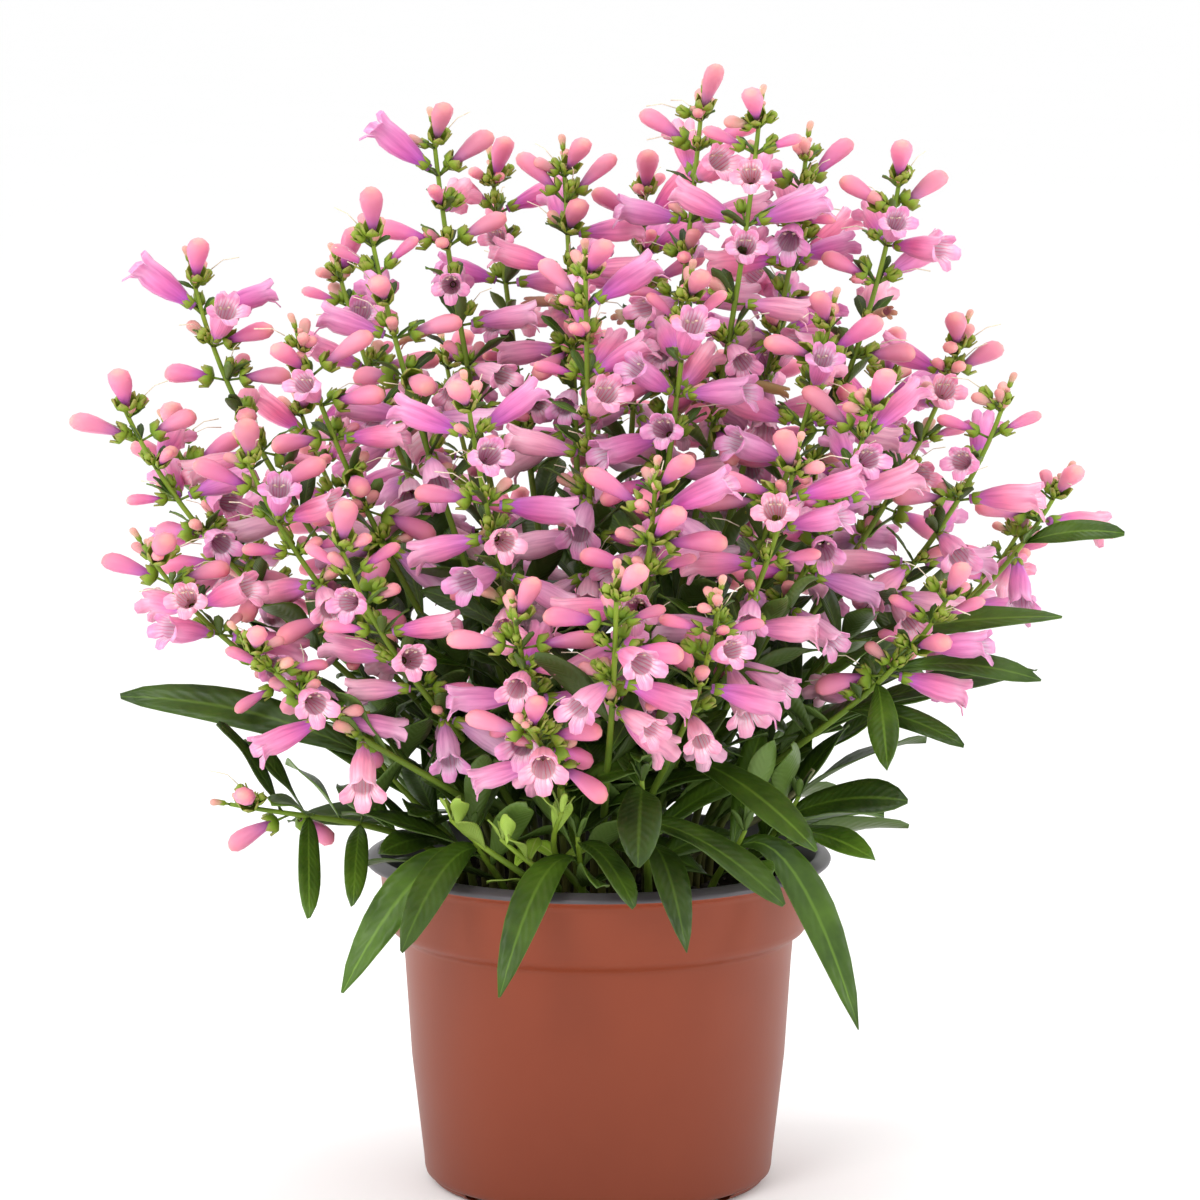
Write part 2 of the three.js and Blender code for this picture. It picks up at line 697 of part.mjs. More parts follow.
// The skin of one stem with all that grows from it: a single closed surface.
class Skin {
  constructor() {
    this.positions = [];
    this.triangles = [];
    this.parts = [];
    this.part = null;
  }

  point(p) {
    this.positions.push(p.x, p.y, p.z);
    return this.positions.length / 3 - 1;
  }

  place(index) {
    return new THREE.Vector3().fromArray(this.positions, 3 * index);
  }

  face(...corners) {
    for (let n = 1; n + 1 < corners.length; n++) {
      this.triangles.push([corners[0], corners[n], corners[n + 1]]);
      this.parts.push(this.part);
    }
  }

  // Joins a ring of corners to the next one by the shortest edges that don't cross each other.
  join(ring, next) {
    const n = ring.length;
    const m = next.length;
    const bands = [];
    for (const steps of stepOrders(n, m)) {
      for (let shift = 0; shift < m; shift++) {
        const band = [];
        let length = 0;
        let slant = 0;
        let i = 0;
        let j = 0;
        for (const step of steps) {
          const [a, b] = [ring[i % n], next[(j + shift) % m]];
          band.push([a, step ? ring[(i + 1) % n] : next[(j + 1 + shift) % m], b]);
          length += this.place(a).distanceToSquared(this.place(b));
          i += step;
          j += 1 - step;
          slant = Math.max(slant, Math.abs(i / n - j / m));
        }
        if (slant < MOST_SLANT) bands.push({ band, length });
      }
    }
    bands.sort((one, other) => one.length - other.length);
    const clean = bands.find(({ band }) => !crossesItself(this.sidesOf(band))) || bands[0];
    clean.band.forEach((corners) => this.face(...corners));
    return next;
  }

  sidesOf(triangles) {
    return triangles.map((corners, n) => {
      const points = corners.map((corner) => this.place(corner));
      return { corners, points, box: new THREE.Box3().setFromPoints(points), part: this.parts[n] };
    });
  }

  addRing(ring, points) {
    return this.join(ring, points.map((p) => this.point(p)));
  }

  close(ring, tip) {
    const end = this.point(tip);
    ring.forEach((corner, n) => this.face(corner, ring[(n + 1) % ring.length], end));
  }

  geometry() {
    const geometry = new THREE.BufferGeometry();
    geometry.setAttribute('position', new THREE.Float32BufferAttribute(this.positions, 3));
    geometry.setIndex(this.triangles.flat());
    return geometry;
  }
}

// An open corolla on its stalk: a funnel that widens to a mouth with a hollow throat.
function addFlower(skin, seatRing, { joint, way, length, radius }) {
  const mouth = joint.root.clone().addScaledVector(way, length);
  const ring = skin.addRing(seatRing, ringAround(mouth, frameOf(way), radius, 4));
  skin.close(ring, joint.root.clone().addScaledVector(way, length - THROAT_DEPTH));
}

function addBud(skin, seatRing, { joint, way, length, radius }) {
  const middle = joint.root.clone().addScaledVector(way, 0.6 * length);
  const ring = skin.addRing(seatRing, ringAround(middle, frameOf(way), radius, 3));
  skin.close(ring, joint.root.clone().addScaledVector(way, length));
}

// A leaf blade with its midrib raised on one side, the way that its seat on the stem points.
function addLeaf(skin, seatRing, { leaf, seat }) {
  const isShort = leaf.root.distanceTo(leaf.tip) < SHORT_LEAF;
  let ring = seatRing;
  for (const t of isShort ? SHORT_LEAF_PLACES : LEAF_PLACES) {
    const centre = leaf.at(t);
    const half = leaf.halfWidthAt(t);
    const { side, normal } = leaf.frameAt(t);
    const left = centre.clone().addScaledVector(side, half);
    const right = centre.clone().addScaledVector(side, -half);
    const rib = centre.clone().addScaledVector(normal, seat.above ? LEAF_THICKNESS : -LEAF_THICKNESS);
    ring = skin.addRing(ring, seat.above ? [left, right, rib] : [left, rib, right]);
  }
  skin.close(ring, leaf.tip);
}

// One side of the stem between two joints, with its seats left open for what grows there.
function addSide(skin, lower, upper, face, seatAbove, seatBelow) {
  const next = (face + 1) % STEM_SIDES;
  const [a, b, c, d] = [lower[face], lower[next], upper[next], upper[face]];
  const seatPoint = (e, f, toward1, toward2) => {
    const edge = skin.place(e).add(skin.place(f)).multiplyScalar(0.5);
    const far = skin.place(toward1).add(skin.place(toward2)).multiplyScalar(0.5);
    const height = Math.min(SEAT_HEIGHT, 0.3 * edge.distanceTo(far));
    return skin.point(edge.add(far.sub(edge).setLength(height)));
  };
  const x = seatAbove ? seatPoint(a, b, c, d) : null;
  const w = seatBelow ? seatPoint(c, d, a, b) : null;
  if (seatAbove) seatAbove.ring = [a, b, x];
  if (seatBelow) seatBelow.ring = [d, w, c];
  if (seatAbove && seatBelow) {
    skin.face(a, x, d);
    skin.face(x, w, d);
    skin.face(x, c, w);
    skin.face(x, b, c);
  } else if (seatAbove) {
    skin.face(a, x, d);
    skin.face(x, c, d);
    skin.face(x, b, c);
  } else if (seatBelow) {
    skin.face(a, b, w);
    skin.face(b, c, w);
    skin.face(a, w, d);
  } else {
    skin.face(a, b, c, d);
  }
}

function skinOf(stem) {
  const { line, joints } = stem;
  const skin = new Skin();
  const bottom = line.foot.clone().setZ(SOIL_TOP - ROOT_DEPTH);
  const upright = { side: line.side, normal: new THREE.Vector3().crossVectors(line.side, UP) };
  const rings = [
    { points: ringAround(bottom, upright, STEM_RADIUS, STEM_SIDES) },
    { points: ringAround(line.foot.clone().setZ(SOIL_TOP + 2), upright, STEM_RADIUS, STEM_SIDES) },
  ];
  const addPlain = (distance) => {
    const radius = line.radiusAt(distance);
    rings.push({ points: ringAround(line.pointAt(distance), line.frameAt(distance), radius, STEM_SIDES) });
  };
  let last = 2;
  for (const joint of [...joints].sort((a, b) => a.distance - b.distance)) {
    const stretches = Math.ceil((joint.distance - last) / LONGEST_STRETCH);
    for (let n = 1; n < stretches; n++) addPlain(last + ((joint.distance - last) * n) / stretches);
    addPlain(joint.distance);
    rings[rings.length - 1].joint = joint;
    last = joint.distance;
  }
  addPlain(line.length - 0.5);
  for (const ring of rings) ring.corners = ring.points.map((p) => skin.point(p));
  skin.face(...[...rings[0].corners].reverse());
  const seatOf = (joint, face, above) => {
    const seat = joint && joint.seats.find((s) => s.face === face && s.above === above);
    return seat && seat.way ? seat : null;
  };
  for (let n = 0; n + 1 < rings.length; n++) {
    for (let face = 0; face < STEM_SIDES; face++) {
      const seatAbove = seatOf(rings[n].joint, face, true);
      const seatBelow = seatOf(rings[n + 1].joint, face, false);
      addSide(skin, rings[n].corners, rings[n + 1].corners, face, seatAbove, seatBelow);
    }
  }
  let end = rings[rings.length - 1].corners;
  if (stem.kind === 'stump') {
    skin.face(...end);
    return skin;
  }
  if (stem.kind === 'spike') {
    const budMiddle = line.tip.clone().addScaledVector(line.tipWay, 0.45 * TIP_BUD_LENGTH);
    end = skin.addRing(end, ringAround(budMiddle, frameOf(line.tipWay), TIP_BUD_RADIUS, STEM_SIDES));
    skin.close(end, line.tip.clone().addScaledVector(line.tipWay, TIP_BUD_LENGTH));
  } else {
    skin.close(end, line.tip.clone().addScaledVector(line.tipWay, 3));
  }
  const addEach = (list, add) => {
    for (const part of list) {
      skin.part = part;
      add(skin, part.seat.ring, part);
    }
  };
  addEach(stem.flowers, addFlower);
  addEach(stem.buds, addBud);
  addEach(stem.leaves, addLeaf);
  return skin;
}

// The flower, bud or leaf that goes through another side of its own plant, or nothing.
function findCrossing(skin) {
  const sides = skin.sidesOf(skin.triangles);
  for (let n = sides.length - 1; n > 0; n--) {
    const one = sides[n];
    if (!one.part) return null;
    for (const other of sides) {
      if (other === one || !one.box.intersectsBox(other.box)) continue;
      if (goesThrough(one, other) || goesThrough(other, one)) return one.part;
    }
  }
  return null;
}

// What still crosses at its root is left off, the last grown first.
function plantGeometry(stem) {
  for (;;) {
    const skin = skinOf(stem);
    const crossing = findCrossing(skin);
    if (!crossing) return skin.geometry();
    crossing.seat.way = null;
    for (const kind of ['flowers', 'buds', 'leaves']) {
      stem[kind] = stem[kind].filter((part) => part !== crossing);
    }
  }
}

// Pot wall, from the middle of the floor out under the feet, up the side and over the rim.
const POT_PROFILE = [
  [0, 3], [61.5, 3], [62.5, 0], [66, 0], [71, 4.5], [71.3, 10], [76.4, 55], [80.3, 102], [85.4, 106.5],
  [88.6, 130], [RIM_RADIUS, 132.8], [89.2, POT_HEIGHT], [84, 108], [78.8, 103.4], [74.9, 55],
  [69.6, FLOOR_TOP], [0, FLOOR_TOP],
];

function lathe(profile) {
  const points = profile.map(([radius, z]) => new THREE.Vector2(radius, z));
  const geometry = new THREE.LatheGeometry([...points, points[0]], POT_SIDES);
  return geometry.rotateX(Math.PI / 2);
}

function makePot() {
  let pot = solidOf(lathe(POT_PROFILE));
  for (let n = 0; n < 2; n++) {
    const slot = new THREE.BoxGeometry(2 * RIM_RADIUS, FOOT_NOTCH_WIDTH, 2 * FOOT_NOTCH_HEIGHT);
    slot.rotateZ(Math.PI / 4 + (n * Math.PI) / 2);
    pot = pot.subtract(solidOf(slot));
  }
  for (let n = 0; n < DRAIN_COUNT; n++) {
    const angle = (2 * Math.PI * n) / DRAIN_COUNT;
    const drain = new THREE.CylinderGeometry(DRAIN_RADIUS, DRAIN_RADIUS, 10, 6);
    drain.rotateX(Math.PI / 2);
    drain.translate(DRAIN_RING_RADIUS * Math.cos(angle), DRAIN_RING_RADIUS * Math.sin(angle), 3);
    pot = pot.subtract(solidOf(drain));
  }
  return pot;
}

function makeSoil() {
  const profile = [
    [0, FLOOR_TOP + SOIL_GAP], [69.6 - SOIL_GAP, FLOOR_TOP + SOIL_GAP], [74.9 - SOIL_GAP, 55],
    [78.8 - SOIL_GAP, 103.7], [83.7 - SOIL_GAP, 108.2], [86 - SOIL_GAP, SOIL_TOP], [0, SOIL_TOP],
  ];
  let soil = solidOf(lathe(profile));
  for (const { line } of stems) {
    const upright = { side: line.side, normal: new THREE.Vector3().crossVectors(line.side, UP) };
    const depth = ROOT_DEPTH + SOIL_GAP;
    const radius = STEM_RADIUS + HOLE_GAP;
    const hole = new THREE.CylinderGeometry(radius, radius, 2 * depth, STEM_SIDES);
    const across = new THREE.Matrix4().makeBasis(upright.side, UP, upright.normal);
    hole.applyMatrix4(across).translate(line.foot.x, line.foot.y, SOIL_TOP);
    soil = soil.subtract(solidOf(hole));
  }
  return soil;
}

const plant = new THREE.Group();
plant.add(meshOf('pot', geometryOf(makePot()), COLOURS.pot, 0.45));
plant.add(meshOf('soil', geometryOf(makeSoil()), COLOURS.soil, 0.95));
for (const stem of stems) {
  plant.add(meshOf(stem.name, plantGeometry(stem), COLOURS[stem.kind], 0.55));
}

export default plant;
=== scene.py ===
import math

import bmesh
import bpy
import numpy as np
from mathutils import Matrix, Vector, noise


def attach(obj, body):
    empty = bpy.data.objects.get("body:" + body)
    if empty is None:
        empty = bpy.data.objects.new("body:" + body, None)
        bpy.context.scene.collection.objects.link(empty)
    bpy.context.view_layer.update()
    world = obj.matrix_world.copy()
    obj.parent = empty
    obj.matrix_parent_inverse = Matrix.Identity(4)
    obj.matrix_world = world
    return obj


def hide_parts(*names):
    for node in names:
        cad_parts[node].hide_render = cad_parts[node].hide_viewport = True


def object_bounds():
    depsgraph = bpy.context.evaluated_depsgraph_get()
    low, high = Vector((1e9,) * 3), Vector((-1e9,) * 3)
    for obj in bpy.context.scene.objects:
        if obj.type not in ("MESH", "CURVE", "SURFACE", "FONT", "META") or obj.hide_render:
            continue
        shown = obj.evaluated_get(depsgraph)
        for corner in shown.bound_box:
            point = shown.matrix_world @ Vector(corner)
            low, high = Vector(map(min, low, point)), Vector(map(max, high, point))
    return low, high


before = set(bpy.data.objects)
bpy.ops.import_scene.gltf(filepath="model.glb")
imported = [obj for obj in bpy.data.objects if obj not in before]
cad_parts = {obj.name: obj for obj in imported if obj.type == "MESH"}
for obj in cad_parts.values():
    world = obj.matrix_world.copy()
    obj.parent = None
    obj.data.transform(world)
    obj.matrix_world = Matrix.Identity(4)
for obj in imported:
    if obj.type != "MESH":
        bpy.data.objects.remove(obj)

cad_low, cad_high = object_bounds()
MM = 0.001


# The camera stands a little higher than the plant, two metres in front of the pot,
# and looks slightly down on it.
CAMERA_PLACE = (0.00077, -2.0, 0.5224)
CAMERA_PITCH = 0.141
CAMERA_LENS = 149.86
SENSOR_WIDTH = 36
SIGHT_LIMIT = 60

camera_data = bpy.data.cameras.new("camera")
camera_data.lens = CAMERA_LENS
camera_data.sensor_width = SENSOR_WIDTH
camera_data.clip_end = SIGHT_LIMIT
camera = bpy.data.objects.new("camera", camera_data)
camera.location = CAMERA_PLACE
camera.rotation_euler = (math.pi / 2 - CAMERA_PITCH, 0, 0)
bpy.context.scene.collection.objects.link(camera)
bpy.context.scene.camera = camera
bpy.context.scene.view_settings.view_transform = "Standard"


# The studio: a plain white floor, a white surround and large soft lamps, two of them
# tall strips at the sides that leave the long streaks on the pot.
FLOOR_RADIUS = 24
FLOOR_TONES = [(0, (0.94, 0.94, 0.94)), (1, (0.955, 0.955, 0.955))]
SURROUND_STRENGTH = 1.05

# Each lamp's name, place, the point it shines on, width, height and power.
LAMPS = [
    ("key_lamp", (-1.1, -1.9, 1.6), (0, 0, 0.25), 0.9, 0.9, 22),
    ("fill_lamp", (1.5, -1.6, 0.9), (0, 0, 0.2), 0.8, 1.2, 2),
    ("left_strip", (-1.25, -0.1, 0.45), (0, 0, 0.1), 0.25, 1.2, 4),
    ("right_strip", (1.25, -0.1, 0.45), (0, 0, 0.1), 0.25, 1.2, 5),
    ("top_lamp", (0.1, 0.4, 2.0), (0, 0, 0.3), 1.2, 1.2, 9),
]


class Finish:
    """A material, put together node by node round its shader."""

    def __init__(self, name, roughness, gloss=0.5):
        self.material = bpy.data.materials.new(name)
        self.material.use_nodes = True
        self.tree = self.material.node_tree
        self.shader = self.tree.nodes["Principled BSDF"]
        self.shader.inputs["Roughness"].default_value = roughness
        self.shader.inputs["Specular IOR Level"].default_value = gloss

    def node(self, kind, inputs, output, **settings):
        """A node whose inputs are values, colours or the outputs of other nodes."""
        node = self.tree.nodes.new(kind)
        for key, value in settings.items():
            setattr(node, key, value)
        for key, value in inputs.items():
            if isinstance(value, bpy.types.NodeSocket):
                self.tree.links.new(value, node.inputs[key])
            elif isinstance(value, tuple):
                node.inputs[key].default_value = (*value, 1)
            else:
                node.inputs[key].default_value = value
        return node.outputs[output]

    def noise(self, scale, detail=3.0, roughness=0.55, place=None):
        if place is None:
            place = self.node("ShaderNodeTexCoord", {}, "Object")
        inputs = dict(Vector=place, Scale=scale, Detail=detail, Roughness=roughness)
        return self.node("ShaderNodeTexNoise", inputs, "Fac")

    def ramp(self, value, stops):
        ramp = self.tree.nodes.new("ShaderNodeValToRGB")
        for extra in range(len(stops) - 2):
            ramp.color_ramp.elements.new(0.5)
        for element, (position, colour) in zip(ramp.color_ramp.elements, stops):
            element.position = position
            element.color = (*colour, 1)
        self.tree.links.new(value, ramp.inputs["Fac"])
        return ramp.outputs["Color"]

    def math(self, operation, *values):
        return self.node("ShaderNodeMath", dict(enumerate(values)), "Value", operation=operation)

    def mix(self, share, first, second, blend="MIX"):
        inputs = {0: share, 6: first, 7: second}
        return self.node("ShaderNodeMix", inputs, 2, data_type="RGBA", blend_type=blend)

    def attribute(self, name):
        return self.node("ShaderNodeAttribute", {}, "Fac", attribute_name=name)

    def toned(self, colour, brightness, hue=0.5):
        inputs = dict(Color=colour, Hue=hue, Value=brightness)
        return self.node("ShaderNodeHueSaturation", inputs, "Color")

    def paint(self, colour):
        self.tree.links.new(colour, self.shader.inputs["Base Color"])

    def bump(self, height, strength, distance):
        inputs = dict(Height=height, Strength=strength, Distance=distance)
        normal = self.node("ShaderNodeBump", inputs, "Normal")
        self.tree.links.new(normal, self.shader.inputs["Normal"])


def finished_mesh(name, bm):
    mesh = bpy.data.meshes.new(name)
    bm.to_mesh(mesh)
    bm.free()
    return mesh


def link_object(name, mesh):
    piece = bpy.data.objects.new(name, mesh)
    bpy.context.scene.collection.objects.link(piece)
    return piece


floor_bm = bmesh.new()
bmesh.ops.create_circle(floor_bm, cap_ends=True, segments=96, radius=FLOOR_RADIUS)
floor = link_object("floor", finished_mesh("floor", floor_bm))
floor_white = Finish("studio_floor", 0.9)
floor_white.paint(floor_white.ramp(floor_white.noise(3.0), FLOOR_TONES))
floor.data.materials.append(floor_white.material)

world = bpy.data.worlds.new("surround")
world.use_nodes = True
world.node_tree.nodes["Background"].inputs["Color"].default_value = (1, 1, 1, 1)
world.node_tree.nodes["Background"].inputs["Strength"].default_value = SURROUND_STRENGTH
bpy.context.scene.world = world

for name, place, target, width, height, power in LAMPS:
    data = bpy.data.lights.new(name, "AREA")
    data.shape = "RECTANGLE"
    data.size = width
    data.size_y = height
    data.energy = power
    lamp = bpy.data.objects.new(name, data)
    lamp.location = place
    lamp.rotation_euler = (Vector(target) - Vector(place)).to_track_quat("-Z", "Y").to_euler()
    bpy.context.scene.collection.objects.link(lamp)


# The pot is one thin moulding of two plastics: terracotta outside and black inside. It flares
# to a stepped collar and a turned-out rim, and stands on four feet cut from its foot ring.
POT_STEPS = 120
POT_OUTSIDE = [
    (0, 2.9), (40, 2.9), (66.0, 2.9), (69.4, 3.0), (70.6, 4.0), (71.1, 6.0), (71.4, 10),
    (76.2, 52), (78.7, 91), (79.5, 100.6), (80.1, 102.0), (81.6, 103.0), (84.2, 104.8),
    (85.4, 106.6), (85.9, 108.6), (88.0, 121), (88.5, 127.0), (89.2, 129.3), (91.0, 130.6),
    (93.8, 131.8), (94.5, 132.4),
]
POT_INSIDE = [
    (94.5, 132.4), (94.8, 133.2), (94.2, 134.1), (91.2, 135.5), (90.2, 135.85), (89.6, 135.9),
    (89.0, 135.6), (88.5, 134.8), (87.2, 128), (83.7, 108), (82.9, 106.4), (79.3, 103.8),
    (78.6, 102.6), (74.9, 55), (69.8, 7), (67.5, 4.7), (40, 4.6), (0, 4.6),
]
FOOT_SECTION = [(61.3, 3.4), (61.6, 1.0), (62.4, 0.05), (65.8, 0.05), (67.8, 1.0), (69.9, 3.6)]
FOOT_ANGLE = math.radians(79)
FOOT_STEPS = 26
QUARTER = math.pi / 2
DRAIN_DISTANCE = 45
DRAIN_RADIUS = 4.5
DRAIN_LEVEL = 3
DRAIN_DEPTH = 8
# How fast the painted shade at the pot's foot lifts, per metre of height.
PAINTED_SHADE_PER_METRE = 7.5


def spin_profile(bm, profile, angle, steps, start=0.0):
    turn = Matrix.Rotation(start, 3, "Z")
    chain = [bm.verts.new(turn @ Vector((radius * MM, 0, height * MM))) for radius, height in profile]
    edges = [bm.edges.new(pair) for pair in zip(chain, chain[1:])]
    whole = abs(angle - 2 * math.pi) < 1e-6
    bmesh.ops.spin(
        bm, geom=chain + edges, cent=(0, 0, 0), axis=(0, 0, 1), angle=angle, steps=steps,
        use_merge=whole, use_duplicate=False)


def cut_holes(mesh, cutter_bm):
    cutter = link_object("cutter", finished_mesh("cutter", cutter_bm))
    blank = link_object("blank", mesh)
    modifier = blank.modifiers.new("holes", "BOOLEAN")
    modifier.operation = "DIFFERENCE"
    modifier.solver = "EXACT"
    modifier.object = cutter
    depsgraph = bpy.context.evaluated_depsgraph_get()
    result = bpy.data.meshes.new_from_object(blank.evaluated_get(depsgraph))
    bpy.data.objects.remove(blank)
    bpy.data.objects.remove(cutter)
    return result


# Terracotta plastic has a fine mould texture and a slow change of tone. Painted shade darkens it towards the
# foot.
terracotta = Finish("pot_terracotta", 0.42, gloss=0.33)
terracotta_cloud = terracotta.ramp(terracotta.noise(14.0, 4.0), [
    (0.25, (0.222, 0.038, 0.011)), (0.5, (0.235, 0.0415, 0.0125)), (0.8, (0.248, 0.0455, 0.014))])
terracotta_place = terracotta.node("ShaderNodeTexCoord", {}, "Object")
terracotta_height = terracotta.node("ShaderNodeSeparateXYZ", {"Vector": terracotta_place}, "Z")
# Painted shade: the colour darkens steadily from the rim down to the foot.
terracotta_painted_shade = terracotta.ramp(
    terracotta.math("MULTIPLY", terracotta_height, PAINTED_SHADE_PER_METRE),
    [(0.0, (0.70, 0.68, 0.66)), (1.0, (1.0, 1.0, 1.0))])
terracotta.paint(terracotta.mix(1.0, terracotta_cloud, terracotta_painted_shade, "MULTIPLY"))
terracotta.bump(terracotta.noise(900.0, 2.0), 0.06, 0.0004)

black_plastic = Finish("pot_black", 0.4)
black_plastic.paint(black_plastic.ramp(black_plastic.noise(30.0, 4.0), [
    (0.3, (0.050, 0.044, 0.050)), (0.8, (0.085, 0.075, 0.085))]))
black_plastic.bump(black_plastic.noise(700.0, 2.0), 0.1, 0.0004)

pot_bm = bmesh.new()
spin_profile(pot_bm, POT_OUTSIDE, 2 * math.pi, POT_STEPS)
outside_count = len(pot_bm.faces)
spin_profile(pot_bm, POT_INSIDE, 2 * math.pi, POT_STEPS)
for index, face in enumerate(pot_bm.faces):
    face.material_index = 0 if index < outside_count else 1
    face.smooth = True
bmesh.ops.remove_doubles(pot_bm, verts=pot_bm.verts, dist=1e-6)
bmesh.ops.recalc_face_normals(pot_bm, faces=pot_bm.faces)
pot_blank = finished_mesh("pot_blank", pot_bm)
pot_blank.materials.append(terracotta.material)
pot_blank.materials.append(black_plastic.material)

drain_bm = bmesh.new()
feet_bm = bmesh.new()
for quarter in range(4):
    angle = quarter * QUARTER
    drain = Vector((DRAIN_DISTANCE * math.cos(angle), DRAIN_DISTANCE * math.sin(angle), DRAIN_LEVEL))
    bmesh.ops.create_cone(
        drain_bm, cap_ends=True, segments=24, radius1=DRAIN_RADIUS * MM, radius2=DRAIN_RADIUS * MM,
        depth=DRAIN_DEPTH * MM, matrix=Matrix.Translation(drain * MM))
    foot_bm = bmesh.new()
    spin_profile(foot_bm, FOOT_SECTION, FOOT_ANGLE, FOOT_STEPS, angle - FOOT_ANGLE / 2)
    open_edges = [edge for edge in foot_bm.edges if edge.is_boundary]
    bmesh.ops.holes_fill(foot_bm, edges=open_edges, sides=0)
    bmesh.ops.recalc_face_normals(foot_bm, faces=foot_bm.faces)
    feet_bm.from_mesh(finished_mesh("foot", foot_bm))
for face in feet_bm.faces:
    face.smooth = len(face.verts) == 4
pot_mesh = cut_holes(pot_blank, drain_bm)
feet_bm.from_mesh(pot_mesh)
feet_bm.to_mesh(pot_mesh)
feet_bm.free()
pot = link_object("pot_moulding", pot_mesh)
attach(pot, "root")
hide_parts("pot")


# Dark peat fills the pot to a finger's width below the rim, round the feet of the stems.
# Its top is loose and crumbly.
SOIL_SECTION = [
    (0, 5.0), (40, 5.0), (69.0, 5.2), (74.4, 55), (78.3, 103.9), (83.2, 108.4), (85.6, 122.2), (84.5, 122.9),
]
SOIL_STEPS = 72
SOIL_TOP = 123.0
SOIL_RING_SHARES = (0.8768, 0.8592, 0.8416, 0.824, 0.78, 0.736, 0.648, 0.472)
ROUGH_LEVEL = 122.5
ROUGH_RADIUS = 84
ROUGH_HEIGHT = 1.6
ROUGH_SCALE = 90
CRUMB_COUNT = 420
CRUMB_SPREAD = 82
CRUMB_SIZE = 0.7
CRUMB_EXTRA = 1.9
CRUMB_LIFT = 0.3
FULL_TURN = 6.3


def make_random(seed):
    state = seed

    def draw():
        nonlocal state
        state = state * 16807 % 2147483647
        return state / 2147483647

    return draw


def lid_of(bm):
    return [face for face in bm.faces if len(face.verts) == SOIL_STEPS]


peat = Finish("peat", 0.95)
peat.paint(peat.ramp(peat.noise(260.0, 6.0, 0.7), [
    (0.3, (0.010, 0.007, 0.005)), (0.55, (0.026, 0.017, 0.012)), (0.75, (0.075, 0.050, 0.034))]))
peat.bump(peat.noise(420.0, 5.0, 0.7), 0.8, 0.0012)

soil_bm = bmesh.new()
spin_profile(soil_bm, SOIL_SECTION, 2 * math.pi, SOIL_STEPS)
soil_wall = set(soil_bm.verts)
edge_radius, edge_level = SOIL_SECTION[-1]
bmesh.ops.create_circle(soil_bm, cap_ends=True, segments=SOIL_STEPS, radius=edge_radius * MM)
soil_top = [vert for vert in soil_bm.verts if vert not in soil_wall]
bmesh.ops.translate(soil_bm, verts=soil_top, vec=(0, 0, edge_level * MM))
for share in SOIL_RING_SHARES:
    bmesh.ops.inset_region(soil_bm, faces=lid_of(soil_bm), thickness=1e-4, use_even_offset=False)
    ring = {vert for face in lid_of(soil_bm) for vert in face.verts}
    bmesh.ops.scale(soil_bm, verts=list(ring), vec=(share, share, 1))
bmesh.ops.poke(soil_bm, faces=lid_of(soil_bm))
bmesh.ops.remove_doubles(soil_bm, verts=soil_bm.verts, dist=1e-5)
for vert in soil_bm.verts:
    if vert.co.z > ROUGH_LEVEL * MM and vert.co.xy.length < ROUGH_RADIUS * MM:
        vert.co.z += ROUGH_HEIGHT * MM * noise.fractal(vert.co * ROUGH_SCALE, 0.8, 2.2, 4)
bmesh.ops.recalc_face_normals(soil_bm, faces=soil_bm.faces)
crumb_random = make_random(4241)
for crumb in range(CRUMB_COUNT):
    distance = CRUMB_SPREAD * math.sqrt(crumb_random())
    angle = 2 * math.pi * crumb_random()
    size = (CRUMB_SIZE + CRUMB_EXTRA * crumb_random() ** 2) * MM
    place = Vector((distance * math.cos(angle), distance * math.sin(angle), SOIL_TOP + CRUMB_LIFT))
    turn = Matrix.Rotation(FULL_TURN * crumb_random(), 4, "Z")
    turn = turn @ Matrix.Rotation(FULL_TURN * crumb_random(), 4, "X")
    width = size * (0.5 + 0.5 * crumb_random())
    height = size * (0.6 + 0.4 * crumb_random())
    matrix = Matrix.Translation(place * MM) @ turn @ Matrix.Diagonal((size, width, height, 1))
    bmesh.ops.create_icosphere(soil_bm, subdivisions=1, radius=1, matrix=matrix)
for face in soil_bm.faces:
    face.smooth = True
soil = link_object("potting_peat", finished_mesh("soil_surface", soil_bm))
soil.data.materials.append(peat.material)
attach(soil, "root")
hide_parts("soil")


# How the plant stands: stems rise from the peat in a loose sheaf, each bowing round the others,
# and every flower, bud and leaf takes the first free place by its joint. All in millimetres.
RIM_RADIUS = 95.0
POT_HEIGHT = 136.0
STEM_RADIUS = 2.2
SPIKE_RADIUS = 1.1
JOINT_GAP = 3
FLOWER_LENGTH = 30.0
MOUTH_RADIUS = 5.3
THROAT_DEPTH = 6.0
BUD_LENGTH = 22.0
BUD_RADIUS = 2.9
PEDICEL_RADIUS = 0.7
STEM_GAP = 0.35
FOOT_SPACING = 7.5
STEM_MARGIN = 0.6
BLOOM_MARGIN = 0.5
LEAF_BALL = 2.0
LEAF_BALL_SPACING = 3.4
POT_MARGIN = 0.5
INSIDE_RIM_MARGIN = 8
ABOVE_SOIL_MARGIN = 1
ABOVE_FLOOR_MARGIN = 2
SEARCH_MARGIN = 13
BALL_LIMIT = 60000
ROOT_ZONE = 14
LEAF_ROOT_ZONE = 7
SEAT_ZONE = 10
LEAST_FACING = 0.3
LEAST_NAMED_FACING = 0.1
FLATTEST = -50
STEEPEST = 72
CURVE_SAMPLES = 40
TIP_HANDLE = 0.42
STEM_BALL_SPACING = 3
STEM_BALL_START = 4
STEM_LIFTS = (0.28, 0.38, 0.2, 0.12)
STEM_BOWS = (0, 7, -7, 14, -14, 21, -21, 28, -28, 35, -35)
FOOT_TRIES = 200
FOOT_STEP = 1.5
FOOT_SIDESTEP = 0.8
SHOOT_LEAN = 0.6
UP = np.array([0.0, 0.0, 1.0])

